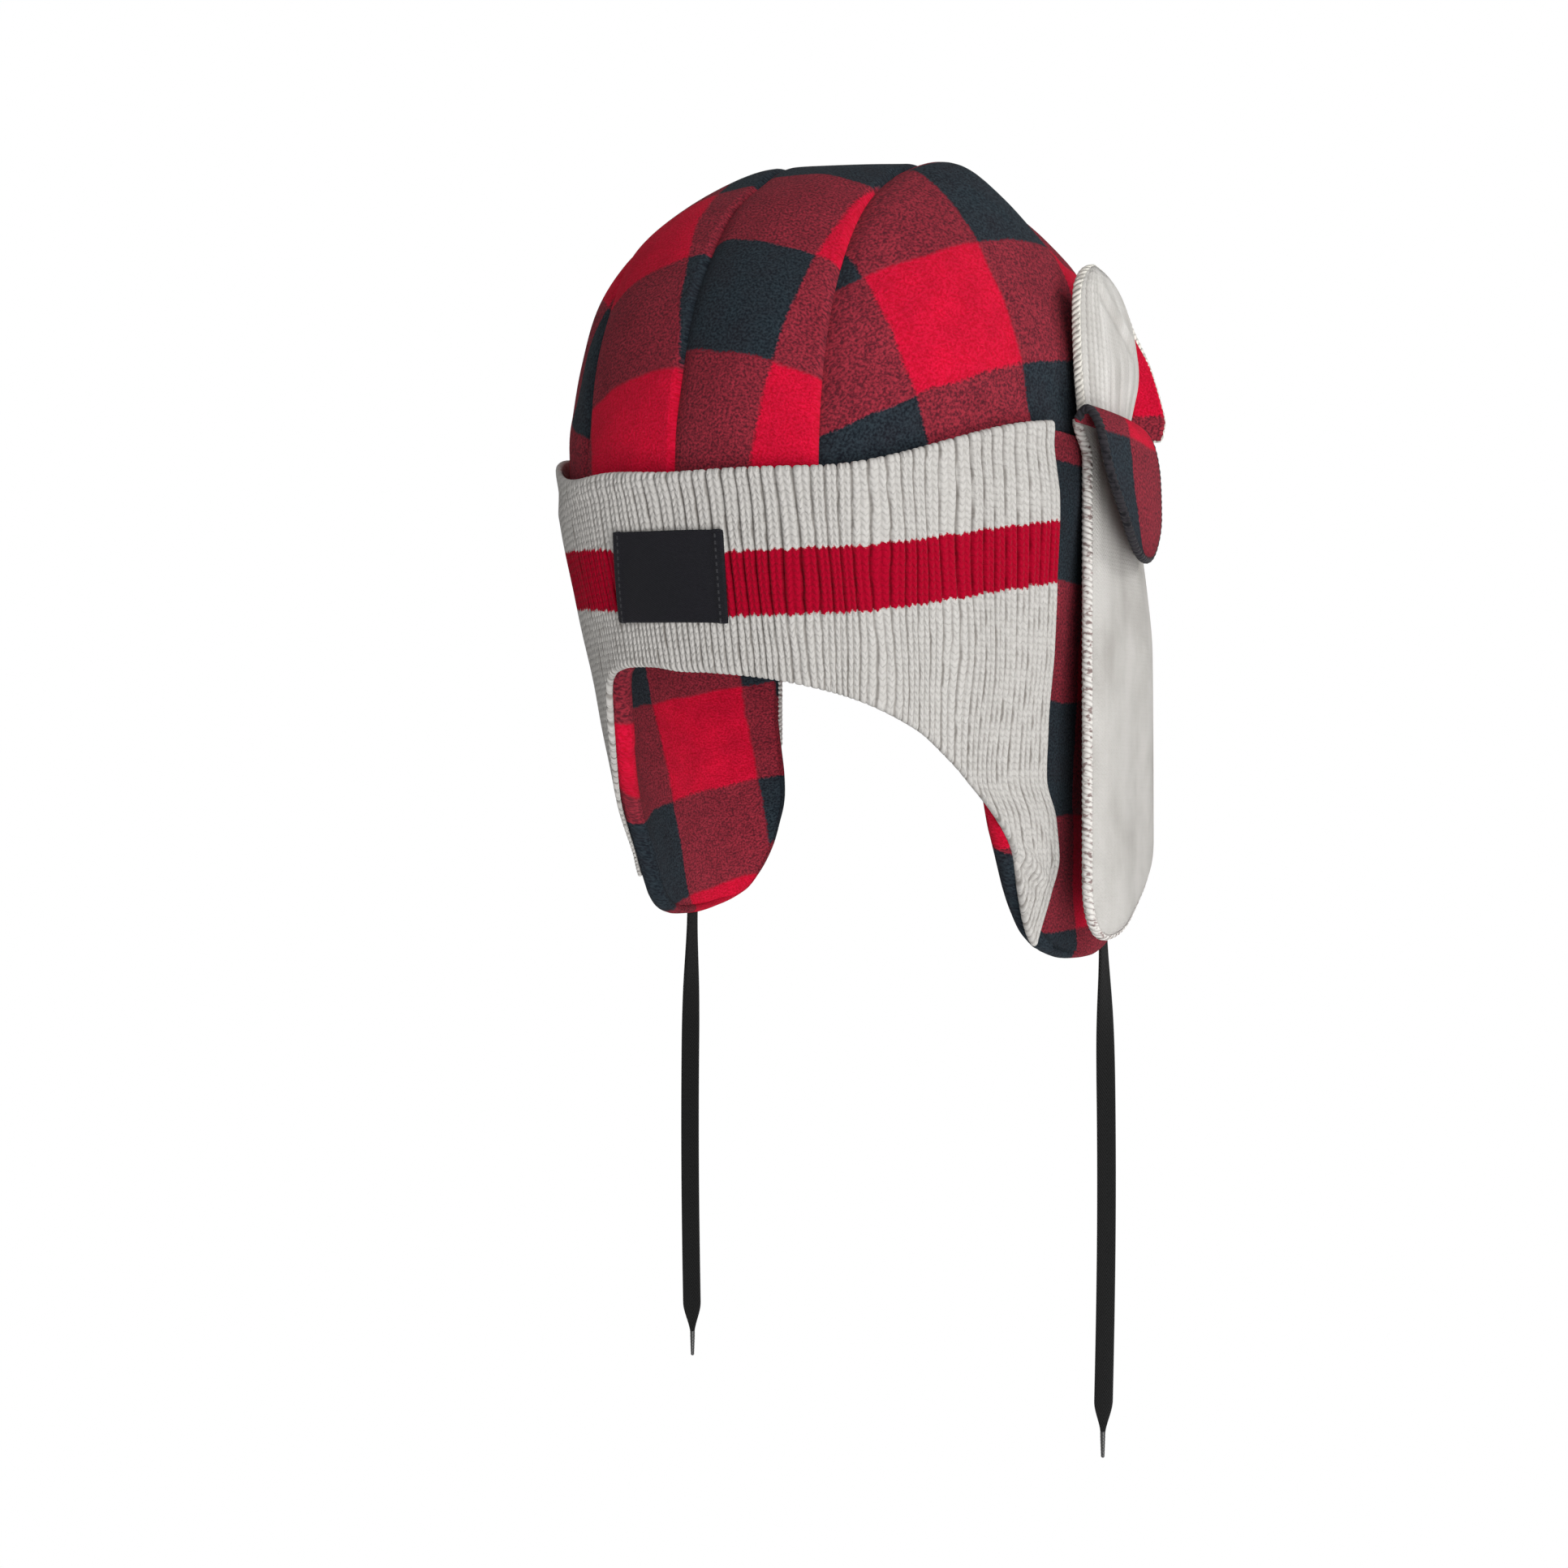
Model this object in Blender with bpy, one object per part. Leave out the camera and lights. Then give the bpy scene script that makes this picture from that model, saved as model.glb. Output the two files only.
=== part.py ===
"""Trapper hat: check fleece crown, knit cuff, ear flaps with laces, side straps and tabs.

Lengths are in millimetres until a vertex is made. The wearer faces -Y and +X is the wearer's left.
The origin is the middle of the head opening, level with the front edge of the cuff.
"""
from functools import lru_cache, partial
from math import atan2, cos, degrees, pi, radians, sin, sqrt

import bmesh
import bpy
from mathutils import Vector

MM = 0.001
GAP = 0.4                      # clear space between neighbouring pieces
SIDES = {"left": 1.0, "right": -1.0}

# Skirt: the oval wall below the crown, drawn in and set back towards the neck
SKIRT_HALF_WIDTH = 90.0
SKIRT_HALF_LENGTH = 102.0
SKIRT_TOP = 53.0               # the drawing in starts here
SKIRT_FOOT = -85.0
SKIRT_DRAW_WIDTH = 13.0
SKIRT_DRAW_LENGTH = 8.0
SKIRT_DRAW_CURVE = 1.6
SKIRT_SHIFT_BACK = 20.0
SKIRT_HANG_LEFT = 6.0          # the soft lower part hangs a little to the wearer's left

# Crown: a dome with a squarish side view, leaning back a little as it rises
CROWN_INSET = 1.6              # the crown stands this far inside the skirt's face
CROWN_HALF_WIDTH = SKIRT_HALF_WIDTH - CROWN_INSET
CROWN_HALF_LENGTH = SKIRT_HALF_LENGTH - CROWN_INSET
CROWN_FOOT = 45.0              # height of the dome's widest level
CROWN_RISE = 122.0             # from that level to the top
CROWN_SQUARENESS = 2.82
CROWN_LEAN = 16.0
STRIP_WIDTHS = {"left": 37.0, "right": 45.5}   # the two strips beside the centre seam are cut unequal
SEAM_PUFF = 3.2                # how far a panel swells between its seams
PUFF_START = 22.0              # the swelling grows over this height above the cuff
CROWN_TUCK = 4.0               # crown fleece reaches this far below the cuff's top line

# Cloth layers, as distances outside the fleece face
FLEECE = (-3.0, 0.0)
LINING = (-6.0, -3.4)
CROWN_LINING = (-7.2, -4.6)    # hangs a little clear of the crown panels
KNIT = (0.4, 3.2)
ROLL_SWELL = 1.2               # rolled top edge of the cuff
ROLL_HEIGHT = 7.0
ROLL_TURN_IN = 2.6
CUFF_CROWDING = 1.7            # rows of the cuff's mesh crowd towards the rolled edge by this power

# Top line of the cuff: low in front, higher over the ears (angles in degrees from the front)
CUFF_FRONT = 54.0
CUFF_CLIMB = 22.0
CUFF_CLIMB_START = 25.0
CUFF_CLIMB_SPAN = 51.0

# Hem of the hat: front arch, ear flap and nape (angle from the front in degrees, height)
HEM = ((0, 0), (15, -2), (30, -9), (41, -17.5), (51, -29), (57.5, -36), (61, -45), (62, -55), (63.9, -66),
       (67.9, -75), (76.5, -81.5), (87, -83.5), (97.5, -81.5), (107, -77), (113, -70), (118.5, -60), (122, -50),
       (124.5, -41), (125.7, -30), (126.3, -12), (127.5, 5), (130.5, 13), (143, 17), (180, 17))
HEM_RISE = {"knit": 0.0, "fleece": 2.0, "lining": 4.0}   # inner layers stop short of the knit's hem
# Rear edge of the knit (height, angle)
KNIT_REAR = ((-84, 79), (-62, 80), (-35, 77), (5, 77), (42, 73), (76, 71.5))
# Front edge of the knit on the flap, where the fleece shows beyond it (height, angle)
KNIT_FRONT = ((-84, 78), (-73, 73.5), (-60, 69), (-52, 66), (-45, 62.5), (-30, 54.5))
KNIT_SHORT = {"left": 5.0, "right": 16.0}   # the knit's point ends this far above the lowest level

# Ear flap: the part of the wall below the fold
FOLD_HEIGHT = -30.0
FOLD_X = 73.5                  # the axis of the fold runs front to back here, above the flap's centre of mass
FOLD_Y = 10.0
FOLD_OPEN = 0.3                # the clear space widens by this share of the distance from the axis
FLAP_FROM = 56.0
FLAP_TO = 124.5
FLAP_LEAST = 0.6               # height that is left of the flap at the ends of its fold
FLAP_DROPS = {"left": 1.12, "right": 0.95}   # the left flap hangs a little longer than the right one

# Label on the front of the cuff
LABEL_ANGLES = (-15.5, 8.6)
LABEL_HEIGHTS = (11.5, 38.5)
LABEL_THICK = 1.2

# Laces: flat braid that leaves the hem edgewise and turns as it hangs
LACE_ANGLES = {"left": 107.0, "right": 86.0}
LACE_WIDTH = 6.5
LACE_THICK = 1.4
LACE_OUT = -3.2                # between the fleece and the lining
LACE_LENGTHS = {"left": 175.0, "right": 155.0}
LACE_TAPER = 12.0
LACE_TURNS = {"left": 30.0, "right": 150.0}   # direction of the width where it hangs free, in degrees
LACE_TURN_LENGTH = 55.0
AGLET_LENGTH = 7.0
AGLET_RADIUS = 0.75
AGLET_TIP_RADIUS = 0.6

# Side strap and tabs, rooted on the cuff's top line over the ear: two layers, fleece in and knit out
ROOT_HEIGHT = CUFF_FRONT + CUFF_CLIMB
SET_BACK = {"left": 0.0, "right": 34.0}   # the right set sits further round to the back
LAYER_IN = (0.4, 2.8)
LAYER_OUT = (3.4, 5.6)
STRAP_Y = (-20.0, 40.0)
STRAP_ROOT_Y = (-20.0, 30.0)
STRAP_FLARE = 6.5              # the rear edge stands away from the hat
STRAP_BOW = 2.0
STRAP_TURN = 70.0              # height over which the strap leaves its root
STRAP_TIP_Y = -8.0
STRAP_BOTTOMS = {"left": -81.5, "right": -62.0}
STRAP_ROUND = (17.0, 38.0)     # how far the tip's rounding reaches up the front and the rear edge
STRAP_ROUND_POWERS = (2.2, 1.25)   # 2 rounds like a circle, 1 cuts straight across
TAB_ROUND_POWER = 2.2
TAB_HALF_WIDTH = 25.0
TAB_HEIGHT = 49.0
TAB_FLARE = 4.0
TAB_LEAN_FORWARD = 13.0
TAB_TOP_SHARE = 0.998          # the tab stops just short of its round's top, which leaves a narrow flat
REAR_TAB_Y = 34.0
REAR_TAB_REACH = 12.5
REAR_TAB_WAIST = 0.62          # share of the reach that is gone at the top
REAR_TAB_WIDEST = 0.43         # share of the height where the tab reaches furthest
REAR_TAB_WAIST_POWER = 2.6
REAR_TAB_ROUND = 8.0
REAR_TAB_SWEEP = 4.0
REAR_TAB_HEIGHTS = (71.0, 119.0)
REAR_TAB_PIVOT = 13.0          # it tips back about its rearmost bottom edge
DROOP_THICK = 2.4
DROOP_OUT = ((0.0, 7.9), (0.2, 10.2), (0.4, 13.0), (0.6, 14.6), (0.8, 14.4), (1.0, 12.6))
DROOP_RISE = ((0.0, -3.4), (0.2, -0.4), (0.4, -3.4), (0.6, -12.0), (0.8, -24.5), (1.0, -38.0))
DROOP_CENTRE_Y = ((0.0, -9.0), (0.5, -1.0), (1.0, 8.0))
DROOP_HALF_WIDTH = 18.5
DROOP_ROUND_FROM = 0.55        # share of the length where the rounding starts

COLOURS = {
    "fleece": (0.42, 0.03, 0.05, 1.0),
    "lining": (0.30, 0.03, 0.04, 1.0),
    "knit": (0.68, 0.65, 0.59, 1.0),
    "label": (0.015, 0.015, 0.016, 1.0),
    "lace": (0.012, 0.012, 0.012, 1.0),
    "aglet": (0.02, 0.02, 0.02, 1.0),
}
ROUGHNESS = {"fleece": 0.95, "lining": 0.95, "knit": 0.9, "label": 0.6, "lace": 0.8, "aglet": 0.35}
SHARP_EDGE_ANGLE = 50.0        # edges that turn more than this are shaded sharp, in degrees


def clear_scene():
    """Start from an empty file."""
    for thing in list(bpy.data.objects):
        bpy.data.objects.remove(thing, do_unlink=True)


def ease(t):
    """Smooth step from 0 to 1."""
    t = min(max(t, 0.0), 1.0)
    return t * t * (3.0 - 2.0 * t)


def mix(a, b, t):
    return a + (b - a) * t


def through(points, x):
    """Smooth curve through hand-placed (x, y) points, without overshoot."""
    last = len(points) - 1
    x = min(max(x, points[0][0]), points[last][0])
    i = 0
    while i < last - 1 and x > points[i + 1][0]:
        i += 1
    slopes = [(points[k + 1][1] - points[k][1]) / (points[k + 1][0] - points[k][0]) for k in range(last)]

    def tangent(k):
        if k == 0 or k == last:
            return slopes[min(k, last - 1)]
        before, after = slopes[k - 1], slopes[k]
        if before * after <= 0.0:
            return 0.0
        return 2.0 * before * after / (before + after)

    step = points[i + 1][0] - points[i][0]
    t = (x - points[i][0]) / step
    rise = points[i][1] * (1.0 + 2.0 * t) * (1.0 - t) ** 2 + points[i + 1][1] * t * t * (3.0 - 2.0 * t)
    return rise + step * (tangent(i) * t * (1.0 - t) ** 2 + tangent(i + 1) * t * t * (t - 1.0))


def cuff_line(angle):
    """Height of the cuff's top line, angle in degrees from the front."""
    return CUFF_FRONT + CUFF_CLIMB * ease((abs(angle) - CUFF_CLIMB_START) / CUFF_CLIMB_SPAN)


def hem_line(angle, drop=1.0):
    """Height of the hem; drop lengthens the flap below the fold."""
    height = through(HEM, abs(angle))
    if height < FOLD_HEIGHT:
        return FOLD_HEIGHT + (height - FOLD_HEIGHT) * drop
    return height


def hung(height):
    """Share of the way down the skirt."""
    return min(max((SKIRT_TOP - height) / (SKIRT_TOP - SKIRT_FOOT), 0.0), 1.0)


def wall(angle, height, out, side):
    """Point on the skirt wall, out millimetres outside the fleece face."""
    t = hung(height)
    draw = 1.0 - (1.0 - t) ** SKIRT_DRAW_CURVE
    half_w = SKIRT_HALF_WIDTH - SKIRT_DRAW_WIDTH * draw
    half_l = SKIRT_HALF_LENGTH - SKIRT_DRAW_LENGTH * draw
    turn = radians(angle)
    x, y = half_w * sin(turn), -half_l * cos(turn)
    nx, ny = x / half_w ** 2, y / half_l ** 2
    push = out / sqrt(nx * nx + ny * ny)
    x += nx * push + side * SKIRT_HANG_LEFT * t * t
    return Vector((x, SKIRT_SHIFT_BACK * t + y + ny * push, height))


def root_x(y):
    """X of the skirt's fleece face at the root of the straps."""
    return SKIRT_HALF_WIDTH * sqrt(1.0 - (y / SKIRT_HALF_LENGTH) ** 2)


def dome(x, turn, grow):
    """Point on the crown in the slice at x, turn going from 0 in front to pi at the back."""
    side = x / CROWN_HALF_WIDTH
    low, high = 0.0, 1.3
    for _ in range(32):
        reach = 0.5 * (low + high)
        level = sqrt(side * side + (reach * cos(turn)) ** 2) ** CROWN_SQUARENESS
        if level + abs(reach * sin(turn)) ** CROWN_SQUARENESS > 1.0:
            high = reach
        else:
            low = reach
    rise = reach * sin(turn)
    y = CROWN_LEAN * rise * rise - (CROWN_HALF_LENGTH + grow) * reach * cos(turn)
    return Vector((side * (CROWN_HALF_WIDTH + grow), y, CROWN_FOOT + (CROWN_RISE + grow) * rise))


def angle_of(point):
    """Angle of a crown point from the front, in degrees."""
    return abs(degrees(atan2(point.x / CROWN_HALF_WIDTH, -point.y / CROWN_HALF_LENGTH)))


def above_cuff(point):
    """Height of a crown point above the crown's lower edge."""
    return point.z - cuff_line(angle_of(point)) + CROWN_TUCK


@lru_cache(maxsize=None)
def foot_turn(x, back, grow):
    """Turn at which the slice at x meets the crown's lower edge."""
    low, high = (pi, 0.5 * pi) if back else (0.0, 0.5 * pi)
    for _ in range(26):
        turn = 0.5 * (low + high)
        if above_cuff(dome(x, turn, grow)) < 0.0:
            low = turn
        else:
            high = turn
    return 0.5 * (low + high)


@lru_cache(maxsize=None)
def widest_x(grow):
    """The outermost slice that still rises above the crown's lower edge."""
    low, high = max(STRIP_WIDTHS.values()), CROWN_HALF_WIDTH * 0.9999
    for _ in range(30):
        x = 0.5 * (low + high)
        if above_cuff(dome(x, 0.5 * pi, grow)) < 0.0:
            high = x
        else:
            low = x
    return low


def crown_point(x, v, grow, puff):
    """Crown point in slice x at share v from front to back, swollen by puff away from the cuff."""
    front, back = foot_turn(x, False, grow), foot_turn(x, True, grow)
    turn = mix(front, back, v)
    lift = ease((above_cuff(dome(x, turn, grow)) - CROWN_TUCK) / PUFF_START)
    return dome(x, turn, grow + puff * lift)


def make_object(name, bm, colour, pivot):
    """Turn a bmesh into a named object with its own material and its origin at the pivot."""
    bmesh.ops.remove_doubles(bm, verts=bm.verts, dist=2e-6)
    bmesh.ops.dissolve_degenerate(bm, dist=1e-7, edges=bm.edges)
    bmesh.ops.recalc_face_normals(bm, faces=bm.faces)
    if bm.calc_volume(signed=True) < 0.0:
        bmesh.ops.reverse_faces(bm, faces=bm.faces)
    bmesh.ops.translate(bm, verts=bm.verts, vec=-pivot)
    mesh = bpy.data.meshes.new(name)
    bm.to_mesh(mesh)
    bm.free()
    mesh.shade_smooth()
    mesh.set_sharp_from_angle(angle=radians(SHARP_EDGE_ANGLE))
    material = bpy.data.materials.new(name)
    material.use_nodes = True
    shader = material.node_tree.nodes["Principled BSDF"]
    shader.inputs["Base Color"].default_value = COLOURS[colour]
    shader.inputs["Roughness"].default_value = ROUGHNESS[colour]
    mesh.materials.append(material)
    thing = bpy.data.objects.new(name, mesh)
    thing.location = pivot
    bpy.data.collections["trapper_hat"].objects.link(thing)


def placed(point, side):
    """A point in metres, mirrored for the right side."""
    return Vector((point.x * side, point.y, point.z)) * MM


def sheet(name, point, layer, grid, colour, side=1.0, ring=False, pivot=Vector()):
    """Loft a curved sheet between its outer and its inner face; point(u, v, out) gives millimetres."""
    columns, rows = grid
    count = columns if ring else columns + 1
    bm = bmesh.new()
    skins = []
    for out in (layer[1], layer[0]):
        skins.append([[bm.verts.new(placed(point(i / columns, j / rows, out), side)) for j in range(rows + 1)]
                      for i in range(count)])
    outer, inner = skins
    for i in range(columns):
        k = (i + 1) % count
        for skin in skins:
            for j in range(rows):
                bm.faces.new((skin[i][j], skin[k][j], skin[k][j + 1], skin[i][j + 1]))
        for j in (0, rows):
            bm.faces.new((outer[i][j], outer[k][j], inner[k][j], inner[i][j]))
    if not ring:
        for i in (0, columns):
            for j in range(rows):
                bm.faces.new((outer[i][j], outer[i][j + 1], inner[i][j + 1], inner[i][j]))
    make_object(name, bm, colour, placed(pivot, side))


def build_crown():
    """Four fleece panels and one lining dome."""
    def strip(u, v, out, width):
        x = mix(GAP / 2.0, width - GAP / 2.0, u)
        puff = SEAM_PUFF * (1.0 - (2.0 * u - 1.0) ** 4) if out == FLEECE[1] else 0.0
        return crown_point(x, v, out, puff)

    def flank(u, v, out, start):
        x = mix(start + GAP / 2.0, widest_x(out), sin(0.5 * pi * v))
        puff = SEAM_PUFF * (1.0 - (1.0 - min(2.0 * v, 1.0)) ** 4) if out == FLEECE[1] else 0.0
        return crown_point(x, u, out, puff)

    def lining(u, v, out):
        turn = 2.0 * pi * u
        low, high = 0.0, 0.5 * pi
        for _ in range(26):
            tilt = 0.5 * (low + high)
            if above_cuff(bowl(turn, tilt, out)) < 0.0:
                low = tilt
            else:
                high = tilt
        return bowl(turn, mix(low, 0.5 * pi, v), out)

    for name, side in SIDES.items():
        width = STRIP_WIDTHS[name]
        sheet("crown_strip_" + name, partial(strip, width=width), FLEECE, (6, 18), "fleece", side)
        sheet("crown_side_" + name, partial(flank, start=width), FLEECE, (18, 9), "fleece", side)
    sheet("crown_lining", lining, CROWN_LINING, (36, 10), "lining", ring=True)


def bowl(turn, tilt, grow):
    """Crown point by compass direction and tilt, for the lining."""
    level = abs(cos(tilt)) ** (2.0 / CROWN_SQUARENESS)
    rise = abs(sin(tilt)) ** (2.0 / CROWN_SQUARENESS)
    if tilt >= 0.5 * pi - 1e-9:
        level, rise = 0.0, 1.0
    x = (CROWN_HALF_WIDTH + grow) * level * sin(turn)
    y = CROWN_LEAN * rise * rise - (CROWN_HALF_LENGTH + grow) * level * cos(turn)
    return Vector((x, y, CROWN_FOOT + (CROWN_RISE + grow) * rise))


def skirt_angle(u, out):
    """Angle of a skirt column; the two end columns stay clear of the centre seams."""
    clear = degrees(GAP / 2.0 / (SKIRT_HALF_WIDTH + out))
    return mix(clear, 180.0 - clear, u)


def standing_hem(angle, layer):
    """Lower edge of the wall that stands still above the flap."""
    return max(hem_line(angle) + HEM_RISE[layer], FOLD_HEIGHT)


def build_skirt():
    """Fleece wall and lining, one half per side."""
    def half(u, v, out, layer, side):
        angle = skirt_angle(u, out)
        return wall(angle, mix(standing_hem(angle, layer), cuff_line(angle) - CROWN_TUCK - GAP, v), out, side)

    for name, side in SIDES.items():
        outer = partial(half, layer="fleece", side=side)
        inner = partial(half, layer="lining", side=side)
        sheet("skirt_" + name, outer, FLEECE, (30, 4), "fleece", side)
        sheet("skirt_lining_" + name, inner, LINING, (30, 3), "lining", side)


def build_cuff():
    """Knit cuff with a rolled top edge, one half per side, and the label on its front."""
    def half(u, v, out, side):
        rise = 1.0 - (1.0 - v) ** CUFF_CROWDING
        angle = u * KNIT_REAR[-1][1]
        for _ in range(8):
            height = mix(standing_hem(angle, "knit"), cuff_line(angle), rise)
            angle = mix(skirt_angle(0.0, out), through(KNIT_REAR, height), u)
        below = (cuff_line(angle) - height) / ROLL_HEIGHT
        if out == KNIT[1] and below < 1.0:
            out += ROLL_SWELL * (1.0 - below) - ROLL_TURN_IN * max(0.0, 1.0 - 3.0 * below)
        return wall(angle, height, out, side)

    def label(u, v, out):
        angle = mix(LABEL_ANGLES[0], LABEL_ANGLES[1], u)
        return wall(angle, mix(LABEL_HEIGHTS[0], LABEL_HEIGHTS[1], v), out, SIDES["left"])

    for name, side in SIDES.items():
        sheet("cuff_" + name, partial(half, side=side), KNIT, (18, 9), "knit", side)
    seat = KNIT[1] + GAP
    sheet("front_label", label, (seat, seat + LABEL_THICK), (8, 4), "label")


def fold_axis(side):
    """X of the axis about which a flap folds."""
    return FOLD_X + side * SKIRT_HANG_LEFT * hung(FOLD_HEIGHT) ** 2


def flap_top(angle, out, side):
    """Upper edge of the flap: close to the wall above at the axis, and clear of it away from there."""
    return FOLD_HEIGHT - GAP - FOLD_OPEN * abs(wall(angle, FOLD_HEIGHT, out, side).x - fold_axis(side))


def build_flaps():
    """Ear flaps: fleece, lining and knit facing on each side, swinging about the fold."""
    def cloth(u, v, out, drop, side):
        angle = mix(FLAP_FROM, FLAP_TO, u)
        top = flap_top(angle, out, side)
        return wall(angle, mix(min(hem_line(angle, drop), top - FLAP_LEAST), top, v), out, side)

    def facing(u, v, out, drop, short, side):
        tip = FOLD_HEIGHT + (KNIT_FRONT[0][0] + short - FOLD_HEIGHT) * drop
        top = flap_top(mix(KNIT_FRONT[-1][1], through(KNIT_REAR, FOLD_HEIGHT), u), out, side)
        height = mix(tip, top, v)
        level = FOLD_HEIGHT + (height - FOLD_HEIGHT) / drop
        return wall(mix(through(KNIT_FRONT, level), through(KNIT_REAR, level), u), height, out, side)

    for name, side in SIDES.items():
        drop = FLAP_DROPS[name]
        pivot = Vector((fold_axis(side), FOLD_Y, FOLD_HEIGHT))
        flap = partial(cloth, drop=drop, side=side)
        knit = partial(facing, drop=drop, short=KNIT_SHORT[name], side=side)
        sheet("flap_" + name, flap, FLEECE, (20, 6), "fleece", side, pivot=pivot)
        sheet("flap_lining_" + name, flap, LINING, (20, 5), "lining", side, pivot=pivot)
        sheet("flap_knit_" + name, knit, KNIT, (7, 8), "knit", side, pivot=pivot)


def lace_top(angle, drop, side):
    """Where a lace leaves the hem, and the slope of the hem there."""
    top = wall(angle, hem_line(angle, drop) - GAP, LACE_OUT, side)
    ahead = wall(angle + 1.0, hem_line(angle + 1.0, drop) - GAP, LACE_OUT, side)
    return top, (ahead.z - top.z) / (ahead.y - top.y)


def build_laces():
    """Flat laces that hang from the flap hems, each with an aglet."""
    def ribbon(u, v, out, top, slope, length, final):
        half = mix(AGLET_RADIUS, LACE_WIDTH / 2.0, ease(length * (1.0 - v) / LACE_TAPER))
        turn = radians(mix(90.0, final, ease(length * v / LACE_TURN_LENGTH)))
        across = mix(-half, half, u)
        return top + Vector((across * cos(turn) - out * sin(turn), across * sin(turn) + out * cos(turn),
                             slope * across * (1.0 - v) - length * v))

    for name, side in SIDES.items():
        top, slope = lace_top(LACE_ANGLES[name], FLAP_DROPS[name], side)
        length = LACE_LENGTHS[name]
        lace = partial(ribbon, top=top, slope=slope, length=length, final=LACE_TURNS[name])
        sheet("lace_" + name, lace, (-LACE_THICK / 2.0, LACE_THICK / 2.0), (2, 24), "lace", side, pivot=top)
        bm = bmesh.new()
        bmesh.ops.create_cone(bm, cap_ends=True, segments=12, radius1=AGLET_TIP_RADIUS * MM,
                              radius2=AGLET_RADIUS * MM, depth=AGLET_LENGTH * MM)
        centre = top - Vector((0.0, 0.0, length + GAP + AGLET_LENGTH / 2.0))
        bmesh.ops.translate(bm, verts=bm.verts, vec=placed(centre, side))
        make_object("aglet_" + name, bm, "aglet", placed(top, side))


def rearward(y):
    """Unit step towards the back along the hat's side at y."""
    slope = -y / root_x(y) * (SKIRT_HALF_WIDTH / SKIRT_HALF_LENGTH) ** 2
    return Vector((slope, 1.0, 0.0)).normalized()


def rooted(out, y, height, back):
    """Point out millimetres outside the hat's side, y being moved back round the side."""
    y += back
    step = rearward(y)
    return Vector((root_x(y) + out * step.y, y - out * step.x, height))


def toe(y):
    """Rise of the strap's lower outline at y, rounded like the toe of a sock."""
    end = 0 if y < STRAP_TIP_Y else 1
    share = min((y - STRAP_TIP_Y) / (STRAP_Y[end] - STRAP_TIP_Y), 1.0)
    power = STRAP_ROUND_POWERS[end]
    return STRAP_ROUND[end] * (1.0 - (1.0 - share ** power) ** (1.0 / power))


def build_straps():
    """Long strap over each ear: knit outside, fleece inside, swinging about its top edge."""
    def strap(u, v, out, back, bottom):
        y = mix(STRAP_Y[0], STRAP_Y[1], u)
        height = mix(bottom + toe(y), ROOT_HEIGHT, v)
        hang = ease((ROOT_HEIGHT - height) / STRAP_TURN)
        y = mix(mix(STRAP_ROOT_Y[0], STRAP_ROOT_Y[1], u), y, hang)
        return rooted(hang * (STRAP_FLARE * u + STRAP_BOW * sin(pi * u)) + out, y, height, back)

    for name, side in SIDES.items():
        back = SET_BACK[name]
        pivot = rooted(LAYER_OUT[1], 0.0, ROOT_HEIGHT, back)
        shape = partial(strap, back=back, bottom=STRAP_BOTTOMS[name])
        sheet("strap_fleece_" + name, shape, LAYER_IN, (8, 12), "fleece", side, pivot=pivot)
        sheet("strap_knit_" + name, shape, LAYER_OUT, (8, 12), "knit", side, pivot=pivot)


def build_top_tabs():
    """Upright tab above each strap, and a second one standing behind it."""
    def tab(u, v, out, back):
        half = TAB_HALF_WIDTH * (1.0 - (TAB_TOP_SHARE * v) ** TAB_ROUND_POWER) ** (1.0 / TAB_ROUND_POWER)
        y = mix(-half, half, u) - TAB_LEAN_FORWARD * v * v
        flare = TAB_FLARE * u * u * ease(2.0 * v)
        return rooted(flare + out, y, ROOT_HEIGHT + GAP + TAB_HEIGHT * v, back)

    def rear(u, v, out, back):
        low, high = REAR_TAB_HEIGHTS
        narrow = REAR_TAB_WAIST * abs(2.0 * (v - REAR_TAB_WIDEST)) ** REAR_TAB_WAIST_POWER
        drop = REAR_TAB_ROUND * u ** 3 * ease(2.0 * v - 1.0)
        base = rooted(GAP + REAR_TAB_REACH * u * (1.0 - narrow), REAR_TAB_Y, mix(low, high, v) - drop, back)
        return base + rearward(REAR_TAB_Y + back) * (REAR_TAB_SWEEP * u + out)

    for name, side in SIDES.items():
        back = SET_BACK[name]
        pivot = rooted(LAYER_OUT[1], 0.0, ROOT_HEIGHT + GAP, back)
        shape = partial(tab, back=back)
        sheet("tab_fleece_" + name, shape, LAYER_IN, (8, 10), "fleece", side, pivot=pivot)
        sheet("tab_knit_" + name, shape, LAYER_OUT, (8, 10), "knit", side, pivot=pivot)
        pivot = rooted(GAP, REAR_TAB_Y + REAR_TAB_PIVOT, REAR_TAB_HEIGHTS[0], back)
        shape = partial(rear, back=back)
        sheet("rear_tab_fleece_" + name, shape, LAYER_IN, (4, 10), "fleece", side, pivot=pivot)
        sheet("rear_tab_knit_" + name, shape, LAYER_OUT, (4, 10), "knit", side, pivot=pivot)


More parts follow.
